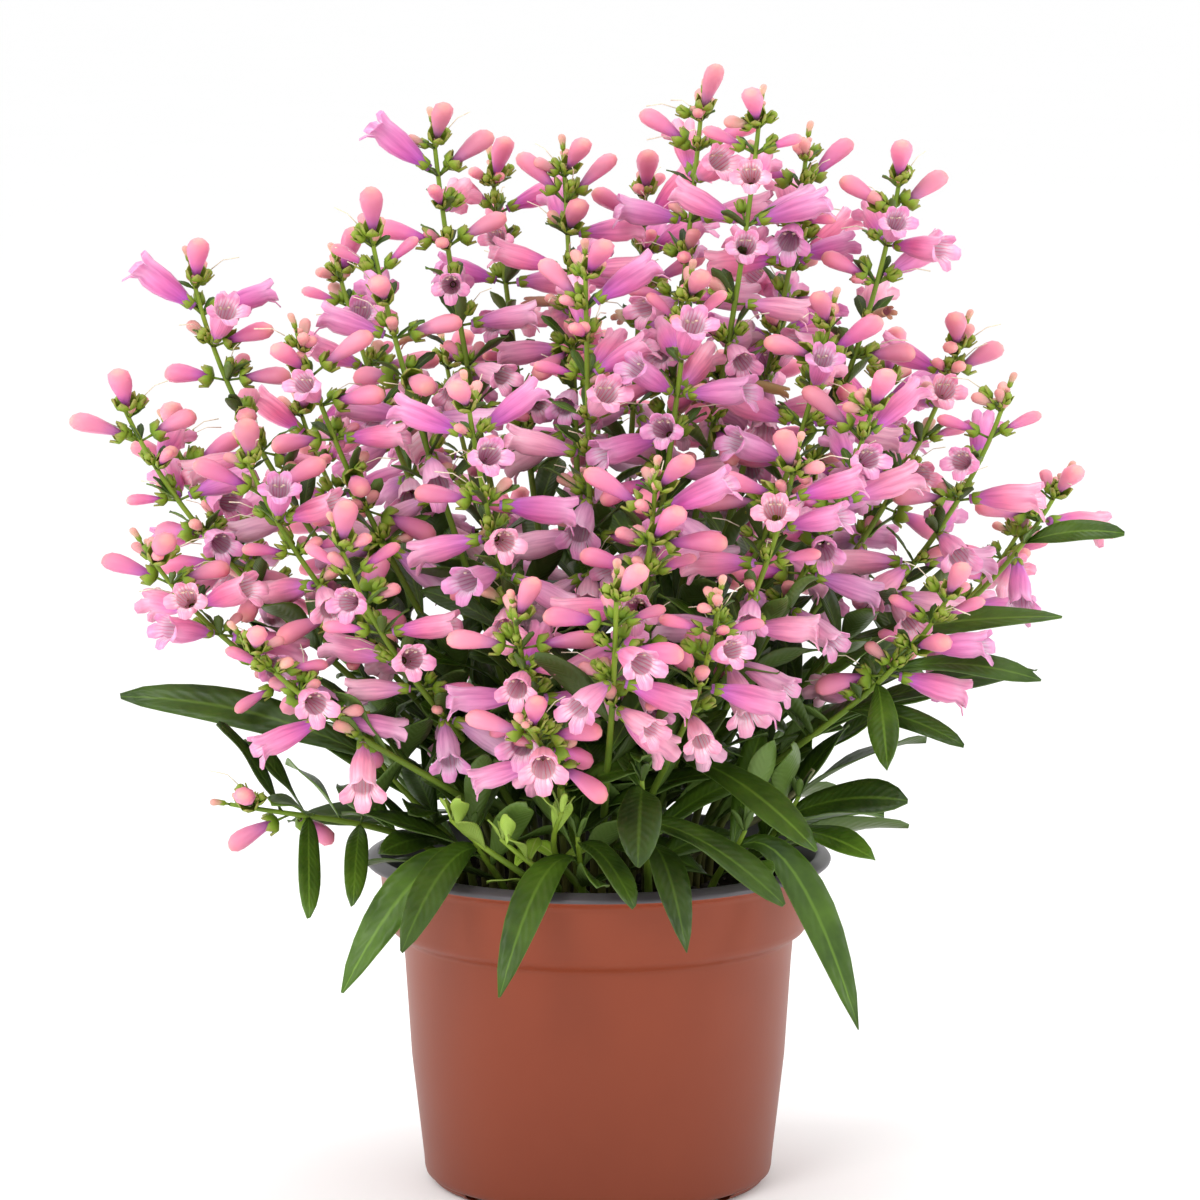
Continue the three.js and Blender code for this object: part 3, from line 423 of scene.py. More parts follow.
# Flowering stems, front then back: tip x, y, z, rows of flowers, lean of the tip.
FLOWERING_STEMS = [
    (42, 15, 440, 9, 0.1), (64, -28, 439, 9, 0.1), (-14, 20, 417, 8, 0.1), (-66, 0, 429, 8, 0.1),
    (122, 10, 413, 9, 0.15), (163, -20, 325, 7, 0.3), (190, 24, 285, 3, 0.5), (-163, -5, 374, 8, 0.2),
    (-90, -38, 393, 8, 0.2), (-50, -112, 335, 7, 0.3), (-5, -62, 381, 9, 0.2), (22, -132, 305, 7, 0.4),
    (46, -142, 261, 5, 0.4), (76, -108, 311, 7, 0.3), (108, -78, 331, 7, 0.3), (-100, -112, 281, 7, 0.4),
    (-138, -72, 308, 7, 0.4), (-190, -24, 323, 7, 0.4), (-178, -62, 269, 6, 0.6), (-138, -92, 237, 5, 0.7),
    (84, 8, 423, 7, 0.1), (92, -48, 361, 7, 0.2), (140, -66, 255, 5, 0.5), (-26, -154, 212, 4, 2.5),
    (-145, -62, 166, 2, 4), (-32, -136, 255, 5, 0.5), (36, -62, 373, 8, 0.2), (-118, -48, 351, 7, 0.3),
    (150, 40, 345, 7, 0.3), (7, -158, 269, 5, 0.3),
    (-44, 62, 411, 8, 0.2), (20, 74, 405, 8, 0.2), (84, 66, 385, 8, 0.2), (-108, 58, 371, 8, 0.3),
    (124, 104, 323, 7, 0.4), (66, 128, 329, 7, 0.4), (0, 140, 333, 7, 0.4), (-66, 128, 329, 7, 0.4),
    (-128, 104, 311, 7, 0.4), (-178, 52, 303, 6, 0.4), (180, 84, 261, 5, 0.6), (-40, 164, 255, 5, 0.6),
    (48, 166, 255, 5, 0.6),
]

# Named leaves on flowering stems: stem, place along it, width, arch, roll, tip x, y, z.
STEM_LEAVES = [
    (13, 0.3, 14, 12, -30, 84, -118, 158), (6, 0.86, 10, 6, -55, 214, 12, 264),
    (5, 0.5, 12, 6, -45, 184, -44, 238), (22, 0.55, 12, 10, -35, 176, -26, 214),
    (22, 0.75, 10, 8, -50, 174, -66, 216), (22, 0.6, 10, 8, -45, 143, -78, 192),
    (22, 0.7, 12, 6, -20, 112, -96, 186), (24, 0.7, 10, 8, 25, -112, -100, 128),
    (24, 0.5, 10, 8, 20, -95, -100, 133), (24, 0.8, 10, 8, 45, -149, -70, 200),
]

# Leafy shoots at the crown: foot x, y, top x, y, z, number of leaf pairs, leaf length, width.
SHOOTS = [
    (-50, -22, -90, -46, 186, 5, 66, 13), (-36, -50, -50, -70, 156, 4, 60, 13),
    (-6, -60, -8, -78, 156, 4, 56, 13), (20, -60, 17, -98, 182, 4, 56, 13),
    (44, -46, 58, -64, 156, 4, 60, 13), (58, -20, 80, -44, 166, 5, 62, 13),
    (60, 12, 86, 18, 166, 5, 76, 15), (44, 44, 62, 64, 166, 5, 76, 15),
    (10, 62, 14, 88, 166, 5, 76, 15), (-30, 56, -44, 80, 166, 5, 76, 15),
    (-56, 26, -84, 38, 166, 5, 76, 15), (-30, -52, -58, -72, 162, 4, 20, 5),
    (-20, -56, -38, -82, 156, 4, 20, 5), (-2, -57, -14, -90, 168, 5, 22, 5),
]
YOUNG_SHOOTS = (11, 12, 13)
NAMED_SHOOTS = 6

# Named leaves on the leafy shoots: shoot, place along it, width, arch, roll, tip x, y, z.
SHOOT_LEAVES = [
    (0, 0.9, 16, 14, 60, -192, -24, 203), (0, 0.96, 12, 6, 40, -112, -84, 214),
    (1, 0.7, 16, 32, 45, -100, -96, 97), (1, 0.8, 14, 20, 35, -76, -112, 117),
    (2, 0.6, 14, 38, 20, -38, -126, 102), (2, 0.92, 12, 12, 0, 14, -128, 138),
    (3, 0.95, 17, 10, 0, 15, -130, 154), (3, 0.45, 13, 26, 0, 34, -122, 119),
    (3, 0.68, 15, 12, -25, 72, -110, 135), (4, 0.75, 15, 50, -50, 103, -74, 77),
    (5, 0.8, 16, 8, -50, 122, -66, 168), (5, 0.62, 12, 8, -25, 108, -84, 148),
]
STUMP = (30, -18, 86, -38, 176)


def unit(vector):
    return vector / np.linalg.norm(vector)


def direction(azimuth, elevation):
    a = math.radians(azimuth)
    e = math.radians(elevation)
    return np.array([math.cos(a) * math.cos(e), math.sin(a) * math.cos(e), math.sin(e)])


taken_balls = np.zeros((BALL_LIMIT, 4))
taken_owner = np.zeros(BALL_LIMIT, int)
taken_stem = np.zeros(BALL_LIMIT, bool)
taken_count = 0


def occupy(balls, owner, is_stem):
    global taken_count
    end = taken_count + len(balls)
    taken_balls[taken_count:end] = balls
    taken_owner[taken_count:end] = owner
    taken_stem[taken_count:end] = is_stem
    taken_count = end


def is_clear(balls, owner, root):
    x, y, z, r = balls.T
    radius = np.hypot(x, y)
    above = z - r > POT_HEIGHT + POT_MARGIN
    beside = radius - r > RIM_RADIUS + POT_MARGIN
    inside = (radius + r < RIM_RADIUS - INSIDE_RIM_MARGIN) & (z - r > SOIL_TOP + ABOVE_SOIL_MARGIN)
    if not np.all(above | np.where(beside, z - r > ABOVE_FLOOR_MARGIN, inside)):
        return False
    near = taken_balls[:taken_count]
    low = balls[:, :3].min(0) - SEARCH_MARGIN
    high = balls[:, :3].max(0) + SEARCH_MARGIN
    keep = np.all((near[:, :3] > low) & (near[:, :3] < high), axis=1)
    same = taken_owner[:taken_count] == owner
    if root is None:
        keep &= ~same
    else:
        at_root = np.linalg.norm(near[:, :3] - root, axis=1) < ROOT_ZONE
        keep &= ~(same & taken_stem[:taken_count] & at_root)
    near = near[keep]
    gap = np.where(same[keep], 0, STEM_GAP)
    apart = np.linalg.norm(balls[:, None, :3] - near[None, :, :3], axis=2)
    return not np.any(apart < balls[:, None, 3] + near[None, :, 3] + gap)


class StemLine:
    """The centre line of a stem: straight up out of the soil, then a cubic curve to the tip."""

    def __init__(self, foot, tip, lean, bow, lift):
        outward = unit(np.array([tip[0] - foot[0], tip[1] - foot[1], 0.0]))
        reach = np.linalg.norm(tip - foot)
        self.tip_way = unit(outward * lean + UP)
        self.side = np.array([-outward[1], outward[0], 0.0])
        self.foot = foot
        self.tip = tip
        self.rise = foot + UP * (lift * reach) + self.side * bow
        self.bend = tip - self.tip_way * (TIP_HANDLE * reach) + self.side * bow
        t = np.arange(CURVE_SAMPLES + 1)[:, None] / CURVE_SAMPLES
        s = 1 - t
        self.points = s ** 3 * foot + 3 * s * s * t * self.rise + 3 * s * t * t * self.bend + t ** 3 * tip
        steps = np.linalg.norm(np.diff(self.points, axis=0), axis=1)
        self.along = np.concatenate([[0], np.cumsum(steps)])
        self.length = self.along[-1]

    def point_at(self, distance):
        target = min(max(distance, 0), self.length)
        return np.array([np.interp(target, self.along, self.points[:, axis]) for axis in range(3)])

    def frame_at(self, distance):
        way = unit(self.point_at(distance + 2) - self.point_at(distance - 2))
        normal = unit(np.cross(self.side, way))
        return way, normal, np.cross(way, normal)

    def radius_at(self, distance):
        return STEM_RADIUS + (SPIKE_RADIUS - STEM_RADIUS) * (distance / self.length)

    def balls(self):
        count = math.ceil(self.length / STEM_BALL_SPACING)
        distances = [self.length * n / count for n in range(count + 1)]
        rows = [(*self.point_at(d), self.radius_at(d) + STEM_MARGIN) for d in distances]
        return np.array([row for row in rows if row[2] > SOIL_TOP + STEM_BALL_START])


feet = []


def place_foot(x, y):
    foot = np.array([x, y, SOIL_TOP], float)
    for attempt in range(FOOT_TRIES):
        near = next((other for other in feet if np.linalg.norm(other - foot) < FOOT_SPACING), None)
        if near is None:
            break
        away = unit(foot - near)
        foot = foot + away * FOOT_STEP + np.array([-away[1], away[0], 0]) * FOOT_SIDESTEP
    feet.append(foot)
    return foot


stems = []


def grow_stem(name, foot_x, foot_y, tip, lean, kind, **details):
    foot = place_foot(foot_x, foot_y)
    owner = len(stems)
    for lift in STEM_LIFTS:
        for bow in STEM_BOWS:
            line = StemLine(foot, np.array(tip, float), lean, bow, lift)
            balls = line.balls()
            if is_clear(balls, owner, None):
                occupy(balls, owner, True)
                stem = dict(name=name, owner=owner, line=line, kind=kind, **details)
                stem.update(joints=[], flowers=[], buds=[], leaves=[])
                stems.append(stem)
                return stem
    raise RuntimeError(f"{name} crosses another stem")


def add_joint(stem, distance):
    while any(abs(other["distance"] - distance) < JOINT_GAP for other in stem["joints"]):
        distance -= JOINT_GAP
    way, normal, side = stem["line"].frame_at(distance)
    seats = []
    for face in range(3):
        angle = 2 * math.pi * (face + 0.5) / 3
        outward = normal * math.cos(angle) + side * math.sin(angle)
        seats.append(dict(face=face, outward=outward, above=True, way=None))
        seats.append(dict(face=face, outward=outward, above=False, way=None))
    joint = dict(distance=distance, root=stem["line"].point_at(distance), upward=way, seats=seats)
    stem["joints"].append(joint)
    return joint


def find_seat(stem, joint, way, least):
    facing = max(float(seat["outward"] @ way) for seat in joint["seats"])
    if facing < least:
        return None
    steepness = float(joint["upward"] @ way)

    def is_right(seat):
        if seat["way"] is not None or float(seat["outward"] @ way) < facing - 1e-9:
            return False
        height = joint["distance"] + (1 if seat["above"] else -1)
        for other in stem["joints"]:
            if abs(other["distance"] - joint["distance"]) > SEAT_ZONE:
                continue
            for taken in other["seats"]:
                if taken["way"] is None or taken["face"] != seat["face"]:
                    continue
                other_height = other["distance"] + (1 if taken["above"] else -1)
                if (height > other_height) != (steepness > float(other["upward"] @ taken["way"])):
                    return False
        return True

    wanted = [seat for seat in joint["seats"] if seat["above"] == (steepness > 0)]
    unwanted = [seat for seat in joint["seats"] if seat["above"] != (steepness > 0)]
    return next((seat for seat in wanted + unwanted if is_right(seat)), None)


AXIS_TRIES = [
    (0, 0), (25, 0), (-25, 0), (0, 20), (0, -20), (50, 0), (-50, 0), (25, 25), (-25, 25),
    (25, -25), (-25, -25), (75, 10), (-75, 10), (50, 30), (-50, 30), (50, -30), (-50, -30),
]
AXIS_SHARES = np.array([0.28, 0.4, 0.52, 0.64, 0.76, 0.88, 0.96])
SPINDLE_BELLY = 0.6


def grow_axis(stem, joint, azimuth, elevation, length, radius, is_bud, row):
    funnel = PEDICEL_RADIUS + (radius - PEDICEL_RADIUS) * AXIS_SHARES
    spindle = np.where(
        AXIS_SHARES < SPINDLE_BELLY, radius * (AXIS_SHARES / SPINDLE_BELLY), radius * (1 - AXIS_SHARES) / 0.4)
    radii = (spindle if is_bud else funnel) + BLOOM_MARGIN
    for turn, tilt in AXIS_TRIES:
        way = direction(azimuth + turn, max(FLATTEST, min(STEEPEST, elevation + tilt)))
        seat = find_seat(stem, joint, way, LEAST_FACING)
        if seat is None:
            continue
        balls = np.column_stack([joint["root"] + AXIS_SHARES[:, None] * length * way, radii])
        if is_clear(balls, stem["owner"], joint["root"]):
            occupy(balls, stem["owner"], False)
            seat["way"] = way
            bloom = dict(joint=joint, way=way, length=length, radius=radius, row=row, outward=seat["outward"])
            stem["buds" if is_bud else "flowers"].append(bloom)
            return


LEAF_SWELL_PLACE = 1.15
LEAF_ROUNDNESS = 0.9
LEAF_BALL_DROP = 0.4
LEAF_BALL_SPREAD = 0.85


class LeafLine:
    """A leaf blade along a quadratic curve in an upright plane, rolled about its own length."""

    def __init__(self, root, bend, tip, width, roll):
        self.root, self.bend, self.tip, self.width = root, bend, tip, width
        self.roll = math.radians(roll)
        self.level = unit(np.array([tip[1] - root[1], root[0] - tip[0], 0.0]))

    def at(self, t):
        s = 1 - t
        return s * s * self.root + 2 * s * t * self.bend + t * t * self.tip

    def way_at(self, t):
        way = (self.bend - self.root) * (1 - t) + (self.tip - self.bend) * t
        return way / np.linalg.norm(way, axis=-1, keepdims=True)

    def frame_at(self, t):
        up = np.cross(self.level, self.way_at(t))
        side = self.level * math.cos(self.roll) + up * math.sin(self.roll)
        return side, up * math.cos(self.roll) - self.level * math.sin(self.roll)

    def half_width_at(self, t):
        return 0.5 * self.width * np.maximum(0, np.sin(math.pi * t ** LEAF_SWELL_PLACE)) ** LEAF_ROUNDNESS

    def balls(self):
        length = np.linalg.norm(self.bend - self.root) + np.linalg.norm(self.tip - self.bend)
        rows = math.ceil(length / LEAF_BALL_SPACING)
        result = []
        for n in range(1, rows + 1):
            t = min(0.99, n / rows)
            half = float(self.half_width_at(t))
            side, normal = self.frame_at(t)
            centre = self.at(t) - normal * LEAF_BALL_DROP
            columns = max(1, math.ceil(2 * half / LEAF_BALL_SPACING))
            for m in range(columns):
                offset = 0 if columns == 1 else half * LEAF_BALL_SPREAD * (2 * m / (columns - 1) - 1)
                place = centre + side * offset
                if np.linalg.norm(place - self.root) > LEAF_ROOT_ZONE:
                    result.append((*place, LEAF_BALL))
        return np.array(result)


LEAF_TRIES = [
    (0, 0), (18, 0), (-18, 0), (0, 14), (0, -14), (36, 0), (-36, 0), (18, 16), (-18, 16),
    (54, 8), (-54, 8), (36, 20), (-36, 20), (18, -16), (-18, -16), (72, 0), (-72, 0),
]
LEAF_BEND = 0.5
LEAF_REACH = 0.97
NAMED_LEAF_BEND = 0.45


def grow_leaf(stem, joint, azimuth, elevation, length, width, droop, roll):
    root = joint["root"]
    for turn, tilt in LEAF_TRIES:
        way = direction(azimuth + turn, elevation + tilt)
        seat = find_seat(stem, joint, way, LEAST_FACING)
        if seat is None:
            continue
        tip = root + way * LEAF_REACH * length - UP * droop * length
        leaf = LeafLine(root, root + way * LEAF_BEND * length, tip, width, roll)
        balls = leaf.balls()
        if is_clear(balls, stem["owner"], root):
            occupy(balls, stem["owner"], False)
            seat["way"] = way
            stem["leaves"].append(dict(joint=joint, leaf=leaf))
            return


def grow_named_leaf(stem, place, width, arch, roll, x, y, z):
    joint = add_joint(stem, place * stem["line"].length)
    root = joint["root"]
    tip = np.array([x, y, z], float)
    leaf = LeafLine(root, root + (tip - root) * NAMED_LEAF_BEND + UP * arch, tip, width, roll)
    seat = find_seat(stem, joint, leaf.way_at(0), LEAST_NAMED_FACING)
    occupy(leaf.balls(), stem["owner"], False)
    seat["way"] = leaf.way_at(0)
    stem["leaves"].append(dict(joint=joint, leaf=leaf))


# Rows of flowers from the tip down: their spacing, a third flower in some, and buds at the top.
SPIKE_SEEDS = (1009, 37)
LEAST_ROW_SPACING = 6
MOST_ROW_WIDENING = 9
THIRD_FLOWER_ROW = 3
THIRD_FLOWER_SHARE = 0.42
THIRD_FLOWER_TURN = 50
TOP_RISE = 56
RISE_LOSS = 76
SECOND_ROW_BUDS = 0.3
OTHER_BUDS = 0.1
TOP_BUD_SHORTNESS = 0.7
TOP_BUD_SLIMNESS = 0.8


def grow_spike(stem, index):
    random = make_random(SPIKE_SEEDS[0] + SPIKE_SEEDS[1] * index)
    start = random() * 360
    below = 0
    for row in range(1, stem["rows"] + 1):
        below += LEAST_ROW_SPACING + min(MOST_ROW_WIDENING, 2 * row) + 2 * random()
        joint = add_joint(stem, stem["line"].length - below)
        ripeness = row / stem["rows"]
        count = 3 if row >= THIRD_FLOWER_ROW and random() < THIRD_FLOWER_SHARE else 2
        for n in range(count):
            extra_turn = THIRD_FLOWER_TURN if n == 2 else 0
            azimuth = start + 90 * row + 180 * n + extra_turn + 40 * (random() - 0.5)
            elevation = TOP_RISE - RISE_LOSS * ripeness + 30 * (random() - 0.5)
            choice = random()
            size = 0.9 + 0.16 * random()
            is_bud = (row == 1 and n == 0) or (row == 2 and choice < SECOND_ROW_BUDS) or choice < OTHER_BUDS
            length, radius = FLOWER_LENGTH * size, MOUTH_RADIUS * size
            if is_bud:
                length = BUD_LENGTH * size * (TOP_BUD_SHORTNESS if row == 1 else 1)
                radius = BUD_RADIUS * size * (TOP_BUD_SLIMNESS if row == 1 else 1)
            grow_axis(stem, joint, azimuth, elevation, length, radius, is_bud, row)
    stem["flower_start"] = stem["line"].length - below


STEM_LEAF_SEEDS = (5003, 41)
MOST_LEAF_PAIRS = 4
LEAF_TO_FLOWER_GAP = 6
STEM_LEAF_DROOP = 0.22
SHOOT_LEAF_SEEDS = (9001, 43)
SHOOT_LEAF_START = 0.28
SHOOT_LEAF_STRETCH = 0.66
SHOOT_LEAF_DROOP = 0.25


def grow_stem_leaves(stem, index):
    random = make_random(STEM_LEAF_SEEDS[0] + STEM_LEAF_SEEDS[1] * index)
    start = random() * 360
    along = 22 + 10 * random()
    pair = 0
    while along < stem["flower_start"] - LEAF_TO_FLOWER_GAP and pair < MOST_LEAF_PAIRS:
        joint = add_joint(stem, along)
        for n in range(2):
            azimuth = start + 90 * pair + 180 * n + 30 * (random() - 0.5)
            elevation = 30 + 26 * random()
            length = 50 + 26 * random()
            width = 9.5 + 4 * random()
            roll = 90 * (random() - 0.5)
            grow_leaf(stem, joint, azimuth, elevation, length, width, STEM_LEAF_DROOP, roll)
        along += 24 + 12 * random()
        pair += 1


def grow_shoot_leaves(stem, index):
    random = make_random(SHOOT_LEAF_SEEDS[0] + SHOOT_LEAF_SEEDS[1] * index)
    start = random() * 360
    for pair in range(stem["pairs"]):
        share = SHOOT_LEAF_START + SHOOT_LEAF_STRETCH * pair / (stem["pairs"] - 1)
        joint = add_joint(stem, stem["line"].length * share)
        for n in range(2):
            azimuth = start + 90 * pair + 180 * n + 40 * (random() - 0.5)
            elevation = 14 + 12 * pair + 14 * random()
            length = stem["leaf_length"] * (0.75 + 0.5 * random())
            width = stem["leaf_width"] * (0.8 + 0.4 * random())
            roll = 90 * (random() - 0.5)
            grow_leaf(stem, joint, azimuth, elevation, length, width, SHOOT_LEAF_DROOP, roll)


def grow_shoot(index):
    foot_x, foot_y, x, y, z, pairs, leaf_length, leaf_width = SHOOTS[index]
    kind = "young" if index in YOUNG_SHOOTS else "leafy"
    return grow_stem(
        f"leafy_shoot_{index + 1:02d}", foot_x, foot_y, (x, y, z), SHOOT_LEAN, kind,
        pairs=pairs, leaf_length=leaf_length, leaf_width=leaf_width)


# A stem's foot stands out from the middle by a little, by a share of its tip's reach, and by
# a share of what a low tip lacks in height.
FOOT_REACH = 7
FOOT_REACH_SHARE = 0.2
LOW_TIP = 250
LOW_TIP_SHARE = 0.25


def grow_flowering_stem(index):
    x, y, z, rows, lean = FLOWERING_STEMS[index]
    reach = math.hypot(x, y)
    share = (FOOT_REACH + FOOT_REACH_SHARE * reach + LOW_TIP_SHARE * max(0, LOW_TIP - z)) / reach
    return grow_stem(
        f"flower_stem_{index + 1:02d}", x * share, y * share, (x, y, z), lean, "spike", rows=rows)


shoots = [grow_shoot(index) for index in range(NAMED_SHOOTS)]
for index, *leaf in SHOOT_LEAVES:
    grow_named_leaf(shoots[index], *leaf)
stump = grow_stem("cut_stump", STUMP[0], STUMP[1], STUMP[2:], SHOOT_LEAN, "stump")
spikes = [grow_flowering_stem(index) for index in range(len(FLOWERING_STEMS))]
for index, *leaf in STEM_LEAVES:
    grow_named_leaf(spikes[index], *leaf)
shoots += [grow_shoot(index) for index in range(NAMED_SHOOTS, len(SHOOTS))]
for index, stem in enumerate(spikes):
    grow_spike(stem, index)
for index, stem in enumerate(shoots):
    grow_shoot_leaves(stem, index)
for index, stem in enumerate(spikes):
    grow_stem_leaves(stem, index)


# What the fixed model has no room for is left off here too: each flower, bud and leaf
# ends in one corner of its node.
END_TOLERANCE = 0.3


def node_points(name):
    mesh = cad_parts[name].data
    places = np.empty(len(mesh.vertices) * 3)
    mesh.vertices.foreach_get("co", places)
    return places.reshape(-1, 3) / MM


def stands_there(points, end):
    return np.min(np.linalg.norm(points - end, axis=1)) < END_TOLERANCE


for stem in stems:
    points = node_points(stem["name"])
    stem["flowers"] = [
        bloom for bloom in stem["flowers"]
        if stands_there(points, bloom["joint"]["root"] + bloom["way"] * (bloom["length"] - THROAT_DEPTH))]
    stem["buds"] = [
        bloom for bloom in stem["buds"]
        if stands_there(points, bloom["joint"]["root"] + bloom["way"] * bloom["length"])]
    stem["leaves"] = [part for part in stem["leaves"] if stands_there(points, part["leaf"].tip)]


# Stems and flower stalks: round, yellow-green above and browner at the foot. Each piece of the
# plant gathers its copies of stems, sepals, blooms or leaves in one mesh.
BOX_MARGIN = 0.00005
LOWEST = np.array(cad_low) + BOX_MARGIN
HIGHEST = np.array(cad_high) - BOX_MARGIN
CORNER_VALUES = ("along", "across", "inside", "tone", "age")
GREEN_STEM, GREEN_SEPAL, GREEN_LEAF = range(3)
SHOOT_LEAF = 1
PLAIN_TONE = 0.5
STEM_SIDES = 8
STEM_RING_SPACING = 7
LEAST_STEM_RINGS = 8
STEM_SLIMNESS = 0.8
PEG_DEPTH = 8
PEG_RADIUS = 1.9


class Gathering:
    """Copies of small meshes, bent and placed, gathered into one mesh with its attributes."""

    def __init__(self):
        self.places = []
        self.faces = []
        self.materials = []
        self.values = {name: [] for name in CORNER_VALUES}
        self.count = 0

    def add(self, places, faces, material, **values):
        self.places.append(places)
        self.faces.extend([tuple(corner + self.count for corner in face) for face in faces])
        self.materials.extend([material] * len(faces))
        for name, stack in self.values.items():
            stack.append(np.broadcast_to(values.get(name, 0.0), len(places)))
        self.count += len(places)

    def build(self, name, finishes):
        mesh = bpy.data.meshes.new(name)
        places = np.clip(np.concatenate(self.places) * MM, LOWEST, HIGHEST)
        mesh.from_pydata(places.tolist(), [], self.faces)
        for key, stack in self.values.items():
            attribute = mesh.attributes.new(key, "FLOAT", "POINT")
            attribute.data.foreach_set("value", np.concatenate(stack).astype(np.float32))
        mesh.polygons.foreach_set("material_index", self.materials)
        mesh.polygons.foreach_set("use_smooth", [True] * len(self.faces))
        for finish in finishes:
            mesh.materials.append(finish.material)
        mesh.update()
        return link_object(name, mesh)


def new_layers(bm, *names):
    for name in names:
        bm.verts.layers.float.new(name)
    return [bm.verts.layers.float[name] for name in names]


def template_of(bm):
    """A small mesh as its corners, its faces and its corners' values."""
    bm.verts.index_update()
    places = np.array([vert.co[:] for vert in bm.verts])
    faces = [tuple(vert.index for vert in face.verts) for face in bm.faces]
    layers = bm.verts.layers.float.items()
    values = {name: np.array([vert[layer] for vert in bm.verts]) for name, layer in layers}
    bm.free()
    return places, faces, values


def drawn_out(bm, edges):
    """Extrudes edges and returns their new corners and edges."""
    drawn = bmesh.ops.extrude_edge_only(bm, edges=edges)["geom"]
    verts = [item for item in drawn if isinstance(item, bmesh.types.BMVert)]
    new_edges = [item for item in drawn if isinstance(item, bmesh.types.BMEdge)]
    return verts, [edge for edge in new_edges if edge.verts[0] in verts and edge.verts[1] in verts]


rod_templates = {}


def rod_faces(count, sides):
    """The faces of a rod with that many rings, from a circle drawn out ring by ring."""
    if (count, sides) not in rod_templates:
        bm = bmesh.new()
        bmesh.ops.create_circle(bm, segments=sides, radius=1)
        edges = list(bm.edges)
        bmesh.ops.contextual_create(bm, geom=edges)
        for ring in range(1, count):
            verts, edges = drawn_out(bm, edges)
            bmesh.ops.translate(bm, verts=verts, vec=(0, 0, 1))
        bmesh.ops.contextual_create(bm, geom=edges)
        bmesh.ops.recalc_face_normals(bm, faces=bm.faces)
        order = sorted(bm.verts, key=lambda vert: (
            round(vert.co.z), math.atan2(vert.co.y, vert.co.x) % (2 * math.pi)))
        rank = {vert: n for n, vert in enumerate(order)}
        rod_templates[count, sides] = [tuple(rank[vert] for vert in face.verts) for face in bm.faces]
        bm.free()
    return rod_templates[count, sides]


def add_tube(gathering, points, radii, sides, material):
    """A round rod through the points, closed at both ends."""
    points = np.asarray(points)
    count = len(points)
    ways = np.gradient(points, axis=0)
    ways /= np.linalg.norm(ways, axis=1, keepdims=True)
    reference = np.array([1.0, 0, 0]) if abs(ways[0][0]) < 0.8 else np.array([0, 1.0, 0])
    side = np.cross(ways, reference)
    side /= np.linalg.norm(side, axis=1, keepdims=True)
    normal = np.cross(side, ways)
    angle = 2 * math.pi * np.arange(sides) / sides
    ring = np.cos(angle)[None, :, None] * normal[:, None] + np.sin(angle)[None, :, None] * side[:, None]
    skin = points[:, None] + ring * np.asarray(radii)[:, None, None]
    along = np.repeat(np.linspace(0, 1, count), sides)
    gathering.add(skin.reshape(-1, 3), rod_faces(count, sides), material, tone=PLAIN_TONE, along=along)


def add_stem(gathering, stem):
    line = stem["line"]
    count = max(LEAST_STEM_RINGS, math.ceil(line.length / STEM_RING_SPACING))
    distances = np.linspace(0, line.length, count)
    points = [line.foot - UP * PEG_DEPTH] + [line.point_at(d) for d in distances]
    radii = [PEG_RADIUS] + [STEM_SLIMNESS * line.radius_at(d) for d in distances]
    add_tube(gathering, points, radii, STEM_SIDES, GREEN_STEM)


green_stem = Finish("green_stem", 0.5, gloss=0.3)
stem_colour = green_stem.ramp(green_stem.attribute("along"), [
    (0.0, (0.085, 0.07, 0.018)), (0.25, (0.09, 0.15, 0.015)), (1.0, (0.22, 0.34, 0.03))])
stem_flush = green_stem.ramp(green_stem.noise(60.0), [(0.35, (0.75, 0.8, 0.7)), (0.7, (1.15, 1.1, 1.0))])
green_stem.paint(green_stem.mix(1.0, stem_colour, stem_flush, "MULTIPLY"))
green_stem.bump(green_stem.noise(900.0, 2.0), 0.15, 0.0003)


# A flower is a two-lipped tube of petal, pinched where it leaves its sepals and swollen to the
# mouth: two lobes lean forward above, three roll back below. It is violet at the base,
# rose pink beyond, and white inside with crimson lines.
LOBE_COUNT = 5
LOBE_STEP = 0.13
PETAL_THICKNESS = 0.28
TUBE_RINGS = [(0, 1.3), (4.0, 1.9), (9.0, 3.3), (14.5, 4.25), (19.0, 4.3), (22.0, 3.9)]
TUBE_LENGTH = TUBE_RINGS[-1][0]
SWELLING = (6, 21)
BELLY_SWELL = 1.18
ROOF_SWELL = 0.9

# The steps of a lobe: forward, outward, and the share that its width grows or shrinks to.
UPPER_LOBE = [(2.6, 0.6, 1.14), (2.2, 1.2, 0.6)]
LOWER_LOBE = [(2.7, 1.6, 1.3), (1.1, 2.7, 0.7)]

BUD_SECTION = [
    (0, 0.0), (0.8, 0.02), (1.2, 0.16), (1.95, 0.36), (2.65, 0.56), (2.95, 0.73), (2.7, 0.87),
    (1.6, 0.965), (0, 1.0),
]
BUD_SIDES = 8

CUP_FOOT_RADIUS = 0.9
CUP_FLARE = 2.7
CUP_HEIGHT = 1.5
SEPAL_TIP = [(2.2, 0.2, 0.85), (2.3, 0.25, 0.12)]
SEPAL_THICKNESS = 0.22
SEPAL_LENGTH = 5

ANTHER_PLACES = [(-1.6, 2.2, 20.2), (1.6, 2.2, 20.0), (-0.8, 2.9, 17.6), (0.9, 2.9, 17.4)]
ANTHER_SIZE = (0.75, 0.45, 0.5)


